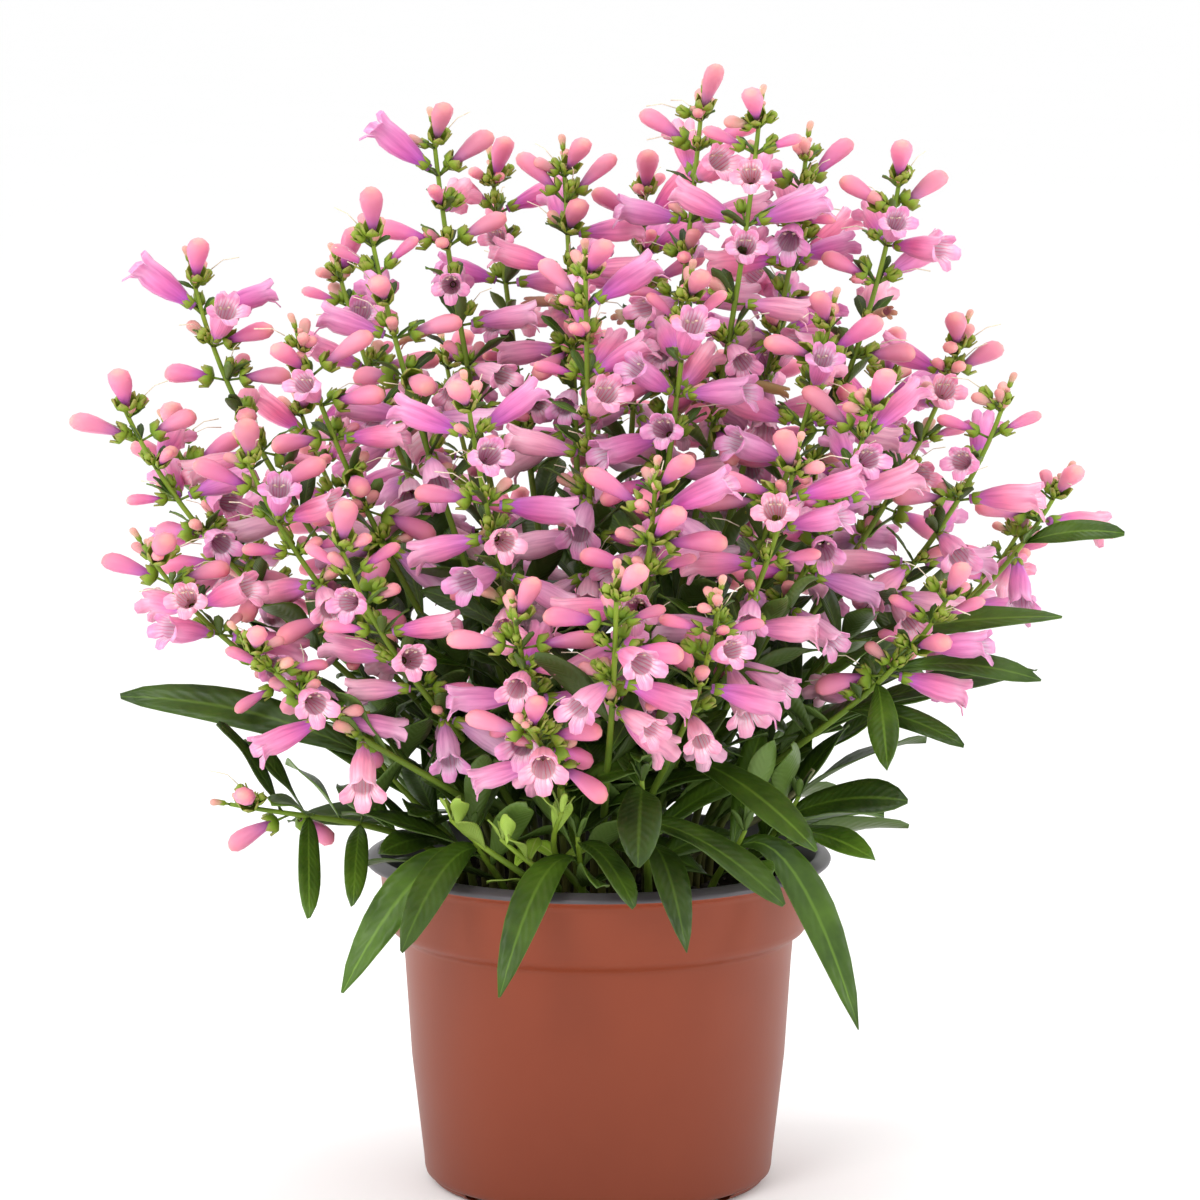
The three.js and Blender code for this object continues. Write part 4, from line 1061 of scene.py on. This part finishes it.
def draw_lobes(bm, rim, paths, along):
    """Draws a rim of edges out into lobes, two edges to a lobe, starting at the upper side."""
    ring = sorted(rim, key=lambda edge: math.atan2(
        edge.verts[0].co.x + edge.verts[1].co.x, edge.verts[0].co.y + edge.verts[1].co.y) % (2 * math.pi))
    for lobe, path in enumerate(paths):
        pair = ring[2 * lobe:2 * lobe + 2]
        middle = sum((vert.co for edge in pair for vert in edge.verts), Vector()) / 4
        outward = Vector((middle.x, middle.y, 0)).normalized()
        across_way = Vector((-outward.y, outward.x, 0))
        reach = 1.0
        for forward, sideways, width in path:
            verts, pair = drawn_out(bm, pair)
            shift = outward * sideways + Vector((0, 0, forward))
            bmesh.ops.translate(bm, verts=verts, vec=shift)
            middle += shift
            reach += LOBE_STEP
            for vert in verts:
                vert.co += across_way * (vert.co - middle).dot(across_way) * (width - 1)
                vert[along] = reach


def make_corolla():
    bm = bmesh.new()
    along, across, inside = new_layers(bm, "along", "across", "inside")
    bmesh.ops.create_circle(bm, cap_ends=True, segments=2 * LOBE_COUNT, radius=TUBE_RINGS[0][1])
    rim = list(bm.edges)
    for (height, radius), (next_height, next_radius) in zip(TUBE_RINGS, TUBE_RINGS[1:]):
        verts, rim = drawn_out(bm, rim)
        bmesh.ops.scale(bm, verts=verts, vec=(next_radius / radius, next_radius / radius, 1))
        bmesh.ops.translate(bm, verts=verts, vec=(0, 0, next_height - height))
        for vert in verts:
            vert[along] = next_height / TUBE_LENGTH
    draw_lobes(bm, rim, [UPPER_LOBE, LOWER_LOBE, LOWER_LOBE, LOWER_LOBE, UPPER_LOBE], along)
    swollen = [vert for vert in bm.verts if SWELLING[0] < vert.co.z < SWELLING[1]]
    belly = [vert for vert in swollen if vert.co.y < -0.1]
    roof = [vert for vert in swollen if vert.co.y > 0.1]
    bmesh.ops.scale(bm, verts=belly, vec=(1, BELLY_SWELL, 1))
    bmesh.ops.scale(bm, verts=roof, vec=(1, ROOF_SWELL, 1))
    bmesh.ops.recalc_face_normals(bm, faces=bm.faces)
    inner_skin = set(bm.verts)
    bmesh.ops.solidify(bm, geom=list(bm.faces), thickness=PETAL_THICKNESS)
    for vert in bm.verts:
        vert[across] = math.atan2(vert.co.x, vert.co.y) / math.pi
        vert[inside] = 1.0 if vert in inner_skin else 0.0
    bmesh.ops.recalc_face_normals(bm, faces=bm.faces)
    return template_of(bm)


def make_bud():
    """A closed petal bag one unit long, or a seed capsule."""
    bm = bmesh.new()
    [along] = new_layers(bm, "along")
    chain = [bm.verts.new((radius, 0, height)) for radius, height in BUD_SECTION]
    edges = [bm.edges.new(pair) for pair in zip(chain, chain[1:])]
    bmesh.ops.spin(
        bm, geom=chain + edges, cent=(0, 0, 0), axis=(0, 0, 1), angle=2 * math.pi, steps=BUD_SIDES,
        use_merge=True)
    bmesh.ops.remove_doubles(bm, verts=bm.verts, dist=1e-4)
    bmesh.ops.recalc_face_normals(bm, faces=bm.faces)
    for vert in bm.verts:
        vert[along] = vert.co.z
    return template_of(bm)


def make_sepals():
    """A green cup with five pointed sepals."""
    bm = bmesh.new()
    [along] = new_layers(bm, "along")
    bmesh.ops.create_circle(bm, segments=2 * LOBE_COUNT, radius=CUP_FOOT_RADIUS)
    verts, rim = drawn_out(bm, list(bm.edges))
    bmesh.ops.scale(bm, verts=verts, vec=(CUP_FLARE, CUP_FLARE, 1))
    bmesh.ops.translate(bm, verts=verts, vec=(0, 0, CUP_HEIGHT))
    draw_lobes(bm, rim, [SEPAL_TIP] * LOBE_COUNT, along)
    bmesh.ops.recalc_face_normals(bm, faces=bm.faces)
    bmesh.ops.solidify(bm, geom=list(bm.faces), thickness=SEPAL_THICKNESS)
    bmesh.ops.recalc_face_normals(bm, faces=bm.faces)
    for vert in bm.verts:
        vert[along] = vert.co.z / SEPAL_LENGTH
    return template_of(bm)


def make_anthers():
    bm = bmesh.new()
    for place in ANTHER_PLACES:
        matrix = Matrix.Translation(place) @ Matrix.Diagonal((*ANTHER_SIZE, 1))
        bmesh.ops.create_icosphere(bm, subdivisions=1, radius=1, matrix=matrix)
    return template_of(bm)


COROLLA = make_corolla()
BUD = make_bud()
SEPALS = make_sepals()
ANTHERS = make_anthers()

LIGHT_DEPTH = (0.003, 0.001, 0.0015)


def let_light_in(finish, weight):
    """Petals glow a little where light passes through them."""
    finish.shader.inputs["Subsurface Weight"].default_value = weight
    finish.shader.inputs["Subsurface Radius"].default_value = LIGHT_DEPTH
    finish.shader.inputs["Subsurface Scale"].default_value = 1.0


def clamped_line(finish, value, slope, offset, limit_kind, *limit):
    """A value turned into a share that rises from nothing along a slope, up to a limit."""
    rising = finish.math("MAXIMUM", finish.math("MULTIPLY_ADD", value, slope, offset), 0.0)
    return finish.math(limit_kind, rising, *limit)


def petal_finish():
    """Petals darken from a pale lip to violet at the base, bleach with age and wither brown."""
    petal = Finish("petal", 0.5)
    along, across, inside, tone, age = [
        petal.attribute(name) for name in ("along", "across", "inside", "tone", "age")]
    fresh = petal.ramp(along, [
        (0.0, (0.42, 0.12, 0.48)), (0.14, (0.42, 0.075, 0.47)), (0.34, (0.60, 0.105, 0.40)),
        (0.62, (0.78, 0.165, 0.39)), (0.88, (0.80, 0.23, 0.43)), (1.0, (0.82, 0.31, 0.50))])
    faded = petal.ramp(along, [
        (0.0, (0.52, 0.20, 0.45)), (0.5, (0.82, 0.38, 0.56)), (1.0, (0.86, 0.50, 0.64))])
    outside = petal.mix(petal.math("MINIMUM", age, 1.0), fresh, faded)

    wave = petal.math("SINE", petal.math("MULTIPLY", across, 62.0))
    ridge = petal.math("POWER", petal.math("MULTIPLY_ADD", wave, 0.5, 0.5), 5.0)
    throat = petal.ramp(along, [
        (0.0, (0.90, 0.52, 0.66)), (0.6, (1.0, 0.84, 0.89)), (0.98, (0.92, 0.68, 0.80))])
    lined = petal.mix(petal.math("MULTIPLY", ridge, 0.6), throat, (0.78, 0.10, 0.30))
    lobe = clamped_line(petal, along, 7.0, -7.1, "SMOOTH_MIN", 1.0, 0.1)
    colour = petal.mix(inside, outside, petal.mix(lobe, lined, (0.82, 0.30, 0.50)))

    # Lengthwise streaks of painted highlight and painted shade run along each petal.
    place = petal.node("ShaderNodeCombineXYZ", {
        "X": petal.math("MULTIPLY", across, 9.0), "Y": petal.math("MULTIPLY", along, 1.3),
        "Z": petal.math("MULTIPLY", tone, 50.0)}, "Vector")
    painted_light_streaks = petal.ramp(petal.noise(1.0, 3.0, 0.5, place), [
        (0.3, (0.78, 0.66, 0.76)), (0.5, (1.0, 1.0, 1.0)), (0.7, (1.14, 1.3, 1.2))])
    colour = petal.mix(1.0, colour, painted_light_streaks, "MULTIPLY")
    withered = petal.math("MAXIMUM", petal.math("SUBTRACT", age, 1.0), 0.0)
    colour = petal.mix(withered, colour, (0.36, 0.19, 0.075))
    hue = petal.math("MULTIPLY_ADD", tone, 0.055, 0.4725)
    petal.paint(petal.toned(colour, petal.math("MULTIPLY_ADD", tone, 0.34, 0.88), hue))
    petal.shader.inputs["Sheen Weight"].default_value = 0.15
    let_light_in(petal, 0.2)
    petal.bump(petal.noise(420.0), 0.25, 0.0003)
    return petal


def bud_finish():
    """Young buds are greenish below, grown ones violet at the base and salmon at the tip."""
    skin = Finish("bud_skin", 0.45)
    grown = skin.ramp(skin.attribute("along"), [
        (0.0, (0.42, 0.12, 0.45)), (0.2, (0.48, 0.085, 0.44)), (0.46, (0.74, 0.17, 0.41)),
        (0.8, (0.82, 0.23, 0.38)), (0.93, (0.84, 0.25, 0.33)), (1.0, (0.82, 0.36, 0.32))])
    young = skin.ramp(skin.attribute("along"), [
        (0.0, (0.28, 0.34, 0.06)), (0.45, (0.66, 0.44, 0.28)), (1.0, (0.78, 0.34, 0.30))])
    colour = skin.mix(skin.attribute("age"), grown, young)
    skin.paint(skin.toned(colour, skin.math("MULTIPLY_ADD", skin.attribute("tone"), 0.3, 0.85)))
    let_light_in(skin, 0.15)
    skin.bump(skin.noise(600.0), 0.12, 0.0002)
    return skin


petal = petal_finish()
bud_skin = bud_finish()
pollen = Finish("anther", 0.7)
pollen.paint(pollen.ramp(pollen.noise(900.0), [(0.3, (0.72, 0.62, 0.42)), (0.7, (0.9, 0.84, 0.66))]))
sepal = Finish("sepal", 0.5, gloss=0.3)
sepal.paint(sepal.ramp(sepal.attribute("along"), [
    (0.0, (0.14, 0.24, 0.012)), (0.6, (0.22, 0.34, 0.022)), (1.0, (0.32, 0.33, 0.07))]))
sepal.bump(sepal.noise(800.0), 0.2, 0.0003)

BLOOM_PETAL, BLOOM_BUD, BLOOM_POLLEN = range(3)
STALK_SIDES = 6
STALK_LENGTH = 5.0
STALK_RADIUS = 0.55
BUD_STALK_SHARE = 0.22
BUD_STALK_RADIUS = 0.5
STALK_PLACES = (0.1, 0.55, 1.0)
STALK_SWELLS = np.array([1.15, 1.0, 1.25])
SEPAL_OVERLAP = 0.3
NOD_LENGTH = 24.0

# Which flowers are still closed, how open ones vary, and which have withered.
CLOSED_SHARE_TOP = 0.6
CLOSED_SHARE_BELOW = 0.22
CLOSED_LENGTH = (0.86, 1.04)
CLOSED_RADIUS = (4.1, 5.0)
CLOSED_AGE = (0, 0.3)
OPEN_LENGTH = 1.06
OPEN_WIDTH = (1.0, 1.18)
OPEN_NOD = (0.6, 2.2)
FRESH_ROWS = 3
FADING_ROWS = 6
AGE_SPREAD = 0.5
WILTED_ROW = 5
WILTED_SHARE = 0.07
WILTED_AGE = 2.0
WILTED_WIDTH = 0.45
WILTED_LENGTH = 0.8
WILTED_NOD = 4.0

BUD_DEPTH_SHARE = 0.84
BUD_NOD = 0.07
BUD_SEPAL_RADIUS = 2.6
BUD_SEPAL_LENGTH = 0.9
LEAST_BUD_SEPALS = 0.4

CAPSULE_STALK = (3.5, 6.5)
CAPSULE_SCALE = (0.8, 1.05)
CAPSULE_SHAPE = np.array([0.62, 0.62, 6.5])
CAPSULE_TONE_SHARE = 0.8
STYLE_SHARE = 0.45
STYLE_RADII = (0.22, 0.2, 0.25)
STYLE_SIDES = 4
STYLE_START = 6

# The points of a bare style: how far along, and its share of the curl.
STYLE_STEPS = [(0, 0), (6, 0.25), (11, 1)]


def between(random, limits):
    least, most = limits
    return least + (most - least) * random()


def bloom_frame(way, outward):
    """Across, up and along a bloom, as the rows of a matrix."""
    up = UP - way * way[2] if abs(way[2]) < 0.93 else -(outward - way * float(outward @ way))
    up = unit(up)
    return np.array([np.cross(up, way), up, way])


def add_copy(gathering, template, rows, base, length, width, nod, material, **values):
    """A template set along its axis and stretched, nodding a little towards its lower side."""
    places, faces, corner_values = template
    local = places * np.array([width, width, length])
    local[:, 1] -= nod * (local[:, 2] / NOD_LENGTH) ** 2
    gathering.add(base + local @ rows, faces, material, **corner_values, **values)


def add_stalk(greens, root, way, length, radius):
    points = [root + way * share * length for share in STALK_PLACES]
    add_tube(greens, points, radius * STALK_SWELLS, STALK_SIDES, GREEN_STEM)


def add_sepals(greens, rows, base, length, width, random):
    foot = base - rows[2] * SEPAL_OVERLAP
    add_copy(greens, SEPALS, rows, foot, length, width, 0, GREEN_SEPAL, tone=random())


def add_flower(greens, blooms, bloom, random):
    size = bloom["length"] / FLOWER_LENGTH
    root, way = bloom["joint"]["root"], bloom["way"]
    if random() < (CLOSED_SHARE_TOP if bloom["row"] <= 2 else CLOSED_SHARE_BELOW):
        length = bloom["length"] * between(random, CLOSED_LENGTH)
        radius = between(random, CLOSED_RADIUS)
        age = between(random, CLOSED_AGE)
        add_bud(greens, blooms, root, way, bloom["outward"], length, radius, age, random)
        return
    rows = bloom_frame(way, bloom["outward"])
    stalk = STALK_LENGTH * size
    add_stalk(greens, root, way, stalk, STALK_RADIUS)
    base = root + way * stalk
    add_sepals(greens, rows, base, size, size, random)
    age = (bloom["row"] - FRESH_ROWS) / FADING_ROWS + AGE_SPREAD * (random() - 0.5)
    age = min(1.0, max(0.0, age))
    tone = random()
    width = size * between(random, OPEN_WIDTH)
    nod = between(random, OPEN_NOD)
    if bloom["row"] >= WILTED_ROW and random() < WILTED_SHARE:
        age = WILTED_AGE
        width *= WILTED_WIDTH
        size *= WILTED_LENGTH
        nod += WILTED_NOD
    length = OPEN_LENGTH * size
    add_copy(blooms, COROLLA, rows, base, length, width, nod, BLOOM_PETAL, age=age, tone=tone)
    add_copy(blooms, ANTHERS, rows, base, length, width, nod, BLOOM_POLLEN, tone=tone)


def add_bud(greens, blooms, root, way, outward, length, radius, age, random):
    rows = bloom_frame(way, outward)
    stalk = BUD_STALK_SHARE * length
    add_stalk(greens, root, way, stalk, BUD_STALK_RADIUS)
    base = root + way * stalk
    scale = min(1.0, LEAST_BUD_SEPALS + length / FLOWER_LENGTH)
    add_sepals(greens, rows, base, scale * BUD_SEPAL_LENGTH, scale * radius / BUD_SEPAL_RADIUS, random)
    places, faces, values = BUD
    girth = radius / BUD_RADIUS
    shape = places * np.array([girth, BUD_DEPTH_SHARE * girth, length - stalk])
    shape[:, 1] -= BUD_NOD * length * places[:, 2] ** 2
    blooms.add(base + shape @ rows, faces, BLOOM_BUD, age=age, tone=random(), **values)


def add_capsule(greens, blooms, root, way, random):
    """A faded flower: its sepals round a green seed capsule, with the bare style still on some."""
    rows = bloom_frame(way, way)
    stalk = between(random, CAPSULE_STALK)
    add_stalk(greens, root, way, stalk, BUD_STALK_RADIUS)
    base = root + way * stalk
    scale = between(random, CAPSULE_SCALE)
    add_sepals(greens, rows, base, scale, scale, random)
    places, faces, values = BUD
    along = CAPSULE_TONE_SHARE * values["along"]
    greens.add(base + (places * CAPSULE_SHAPE * scale) @ rows, faces, GREEN_SEPAL, along=along, tone=random())
    if random() < STYLE_SHARE:
        start = base + way * STYLE_START
        curl = rows[0] * (8 * (random() - 0.5)) - rows[1] * (3 + 4 * random())
        points = [start + way * forward + curl * share for forward, share in STYLE_STEPS]
        add_tube(blooms, points, STYLE_RADII, STYLE_SIDES, BLOOM_POLLEN)


# Leaves: long blades, narrow at both ends, folded a little along the midrib. Dark and slightly
# glossy above with a paler rib and a thin pale edge, grey-green below.
BLADE_THICKNESS = 0.5
LEAST_HALF_WIDTH = 0.35
FOLD = (0.10, 0.26)
EDGE_WAVE = 0.09
WAVES_ALONG = 8.5
BLADE_SWELL_PLACE = 1.35
BLADE_ROUNDNESS = 0.62
BLADE_BREADTH = 0.51
BLADE_ENDS = (0.004, 0.995)
BRACT_DROOP = 0.2
BRACT_REACH = 0.95
BRACT_BEND = 0.5
BRACT_ROLL = 60


def make_blade(rows, columns):
    """A flat blade one unit long and two wide, with its thickness in millimetres."""
    bm = bmesh.new()
    along, across, inside = new_layers(bm, "along", "across", "inside")
    bmesh.ops.create_grid(bm, x_segments=rows, y_segments=columns, size=1)
    for vert in bm.verts:
        vert.co.x = (vert.co.x + 1) / 2
    top = set(bm.verts)
    bmesh.ops.recalc_face_normals(bm, faces=bm.faces)
    if sum(face.normal.z for face in bm.faces) < 0:
        bmesh.ops.reverse_faces(bm, faces=bm.faces)
    bmesh.ops.solidify(bm, geom=list(bm.faces), thickness=BLADE_THICKNESS)
    for vert in bm.verts:
        vert[along] = vert.co.x
        vert[across] = vert.co.y
        vert[inside] = 0.0 if vert in top else 1.0
    bmesh.ops.recalc_face_normals(bm, faces=bm.faces)
    return template_of(bm)


LEAF_BLADE = make_blade(12, 4)
BRACT_BLADE = make_blade(5, 2)


def blade_finish(name, dark, light, rib, under, roughness):
    blade = Finish(name, roughness, gloss=0.32)
    across = blade.math("ABSOLUTE", blade.attribute("across"))
    colour = blade.ramp(blade.noise(45.0, 4.0), [(0.3, dark), (0.72, light)])
    colour = blade.mix(clamped_line(blade, across, -9.0, 1.1, "SMOOTH_MIN", 0.8, 0.1), colour, rib)
    colour = blade.mix(clamped_line(blade, across, 12.0, -11.2, "MINIMUM", 0.55), colour, rib)
    colour = blade.mix(blade.attribute("inside"), colour, under)
    blade.paint(blade.toned(colour, blade.math("MULTIPLY_ADD", blade.attribute("tone"), 0.95, 0.6)))
    steps = blade.math("MULTIPLY", blade.attribute("along"), 90.0)
    veins = blade.math("SINE", blade.math("ADD", steps, blade.math("MULTIPLY", across, -14.0)))
    blade.bump(blade.math("MULTIPLY_ADD", veins, 0.4, blade.noise(260.0)), 0.25, 0.0005)
    return blade


leaf_green = blade_finish(
    "leaf_green", dark=(0.017, 0.044, 0.003), light=(0.066, 0.135, 0.009), rib=(0.10, 0.19, 0.018),
    under=(0.080, 0.135, 0.026), roughness=0.42)
young_green = blade_finish(
    "young_green", dark=(0.19, 0.34, 0.025), light=(0.28, 0.44, 0.04), rib=(0.40, 0.50, 0.12),
    under=(0.26, 0.38, 0.06), roughness=0.45)


def add_leaf(gathering, leaf, material, random, template=LEAF_BLADE):
    blade, faces, values = template
    t = np.clip(blade[:, 0], *BLADE_ENDS)
    side, normal = leaf.frame_at(t[:, None])
    fullness = np.maximum(0, np.sin(math.pi * t ** BLADE_SWELL_PLACE)) ** BLADE_ROUNDNESS
    half = np.maximum(LEAST_HALF_WIDTH, BLADE_BREADTH * leaf.width * fullness)
    fold = between(random, FOLD)
    phase = FULL_TURN * random()
    wave = EDGE_WAVE * leaf.width * np.sin(WAVES_ALONG * t + phase) * blade[:, 1]
    lift = fold * np.abs(blade[:, 1]) * half + wave + blade[:, 2]
    places = leaf.at(t[:, None]) + side * (blade[:, 1] * half)[:, None] + normal * lift[:, None]
    gathering.add(places, faces, material, tone=random(), **values)


def add_bract(gathering, root, way, length, width, material, random, template=BRACT_BLADE):
    """A small leaf that arches over, straight from the stem."""
    bend = root + way * BRACT_BEND * length
    tip = root + way * BRACT_REACH * length - UP * BRACT_DROOP * length
    roll = BRACT_ROLL * (random() - 0.5)
    add_leaf(gathering, LeafLine(root, bend, tip, width, roll), material, random, template)


# The flowering stems, each dressed from its rows of flowers down to its low leaves. Buds close
# the tip, and two bracts sit at each joint of the rows, many with a small bud or a seed capsule.
TIP_BUD_LENGTH = 8.5
TIP_BUD_RADIUS = 1.7
TOP_BUDS = [(3.0, 5.5, 62), (9.0, 7.5, 50)]
TOP_BUD_GIRTH = 0.22
TOP_BUD_AGE = 0.9
FIRST_ROW_AGE = 0.75
LATER_ROW_AGE = (0, 0.15)
BRACT_RISE = (35, 60)
BRACT_LENGTH = 8
BRACT_LENGTHENING = 0.2
BRACT_WIDTH = 2.2
BRACT_WIDENING = 0.036
SMALL_BUD_SHARE = 0.45
SMALL_BUD_RISE = (15, 60)
SMALL_BUD_LENGTH = (11, 16)
SMALL_BUD_GIRTH = 0.2
SMALL_BUD_AGE = (0.3, 1.0)
CAPSULE_SHARE = 0.8
SIDE_RISE = (25, 60)
LOW_LEAF_COUNT = 5
LOW_LEAF_START = 22
LOW_LEAF_LENGTH = (36, 58)
LOW_LEAF_WIDTH = (10, 14.5)


def any_way(random, rise, turn=0):
    return direction(360 * random() + turn, between(random, rise))


def add_top_buds(greens, blooms, line, random):
    outward = np.cross(line.side, line.tip_way)
    add_bud(greens, blooms, line.tip, line.tip_way, outward, TIP_BUD_LENGTH, TIP_BUD_RADIUS, 1.0, random)
    for down, length, steepness in TOP_BUDS:
        root = line.point_at(line.length - down)
        for turn in (0, 180):
            way = direction(90 * down + turn + 40 * random(), steepness)
            add_bud(greens, blooms, root, way, way, length, TOP_BUD_GIRTH * length, TOP_BUD_AGE, random)


def dress_joint(greens, blooms, root, above, random):
    for turn in (0, 180):
        way = any_way(random, BRACT_RISE, turn)
        length = BRACT_LENGTH + BRACT_LENGTHENING * above
        width = BRACT_WIDTH + BRACT_WIDENING * above
        add_bract(greens, root, way, length, width, GREEN_LEAF, random)
        if random() < SMALL_BUD_SHARE:
            way = any_way(random, SMALL_BUD_RISE)
            length = between(random, SMALL_BUD_LENGTH)
            age = between(random, SMALL_BUD_AGE)
            add_bud(greens, blooms, root, way, way, length, SMALL_BUD_GIRTH * length, age, random)
        if random() < CAPSULE_SHARE:
            add_capsule(greens, blooms, root, any_way(random, SIDE_RISE), random)


for index, stem in enumerate(spikes):
    random = make_random(70001 + 53 * index)
    line = stem["line"]
    greens = Gathering()
    blooms = Gathering()
    add_stem(greens, stem)
    for bloom in stem["flowers"]:
        add_flower(greens, blooms, bloom, random)
    for bloom in stem["buds"]:
        age = FIRST_ROW_AGE if bloom["row"] == 1 else between(random, LATER_ROW_AGE)
        add_bud(greens, blooms, bloom["joint"]["root"], bloom["way"], bloom["outward"],
                bloom["length"], bloom["radius"], age, random)
    add_top_buds(greens, blooms, line, random)
    for joint in stem["joints"]:
        if joint["distance"] >= stem["flower_start"] - 1:
            dress_joint(greens, blooms, joint["root"], line.length - joint["distance"], random)
    for part in stem["leaves"]:
        add_leaf(greens, part["leaf"], GREEN_LEAF, random)
    for extra in range(LOW_LEAF_COUNT):
        height = LOW_LEAF_START + random() * max(10, stem["flower_start"] - 30)
        way = any_way(random, SIDE_RISE)
        length = between(random, LOW_LEAF_LENGTH)
        width = between(random, LOW_LEAF_WIDTH)
        add_bract(greens, line.point_at(height), way, length, width, GREEN_LEAF, random, LEAF_BLADE)
    stalks = greens.build(stem["name"] + "_greens", (green_stem, sepal, leaf_green))
    flowers = blooms.build(stem["name"] + "_blooms", (petal, bud_skin, pollen))
    for piece, slot in ((stalks, "leaves"), (flowers, "blooms")):
        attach(piece, "root")
        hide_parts(stem["name"])


# The leafy shoots round the crown, each closed by four small leaves at its tip. Three young
# ones at the front are fresh yellow-green, with broader leaves for their length.
YOUNG_BREADTH = 1.35
TIP_LEAF_COUNT = 4
TIP_LEAF_RISE = (60, 75)
TIP_LEAF_LENGTH = (11, 16)
TIP_LEAF_WIDTH = 3

for index, stem in enumerate(shoots):
    random = make_random(80021 + 59 * index)
    is_young = stem["kind"] == "young"
    line = stem["line"]
    greens = Gathering()
    add_stem(greens, stem)
    for part in stem["leaves"]:
        if is_young:
            part["leaf"].width *= YOUNG_BREADTH
        add_leaf(greens, part["leaf"], SHOOT_LEAF, random)
    for quarter in range(TIP_LEAF_COUNT):
        way = direction(90 * quarter + 40 * random(), between(random, TIP_LEAF_RISE))
        length = between(random, TIP_LEAF_LENGTH)
        add_bract(greens, line.point_at(line.length - 1), way, length, TIP_LEAF_WIDTH, SHOOT_LEAF, random)
    piece = greens.build(stem["name"] + "_greens", (green_stem, young_green if is_young else leaf_green))
    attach(piece, "root")
    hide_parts(stem["name"])


# One stem was cut off short. It is left as a dull stub, dried to a patchy brown and buff,
# and tapers a little to its cut end.
STUB_RINGS = 16
STUB_SIDES = 10
STUB_RADII = (2.1, 1.0)
STUB_LOSS = 0.5
DRY_STEM = 0

dry_stem = Finish("dry_stem", 0.7)
dry_stem.paint(dry_stem.ramp(dry_stem.noise(120.0, 5.0), [
    (0.3, (0.11, 0.10, 0.04)), (0.55, (0.20, 0.20, 0.09)), (0.8, (0.34, 0.30, 0.18))]))
dry_stem.bump(dry_stem.noise(500.0), 0.3, 0.0004)

stub = Gathering()
stub_line = stump["line"]
stub_distances = np.linspace(0, stub_line.length - STUB_LOSS, STUB_RINGS)
stub_points = [stub_line.foot - UP * PEG_DEPTH] + [stub_line.point_at(d) for d in stub_distances]
add_tube(stub, stub_points, np.linspace(*STUB_RADII, STUB_RINGS + 1), STUB_SIDES, DRY_STEM)
stub_piece = stub.build("cut_stub", (dry_stem,))
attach(stub_piece, "root")
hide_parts("cut_stump")
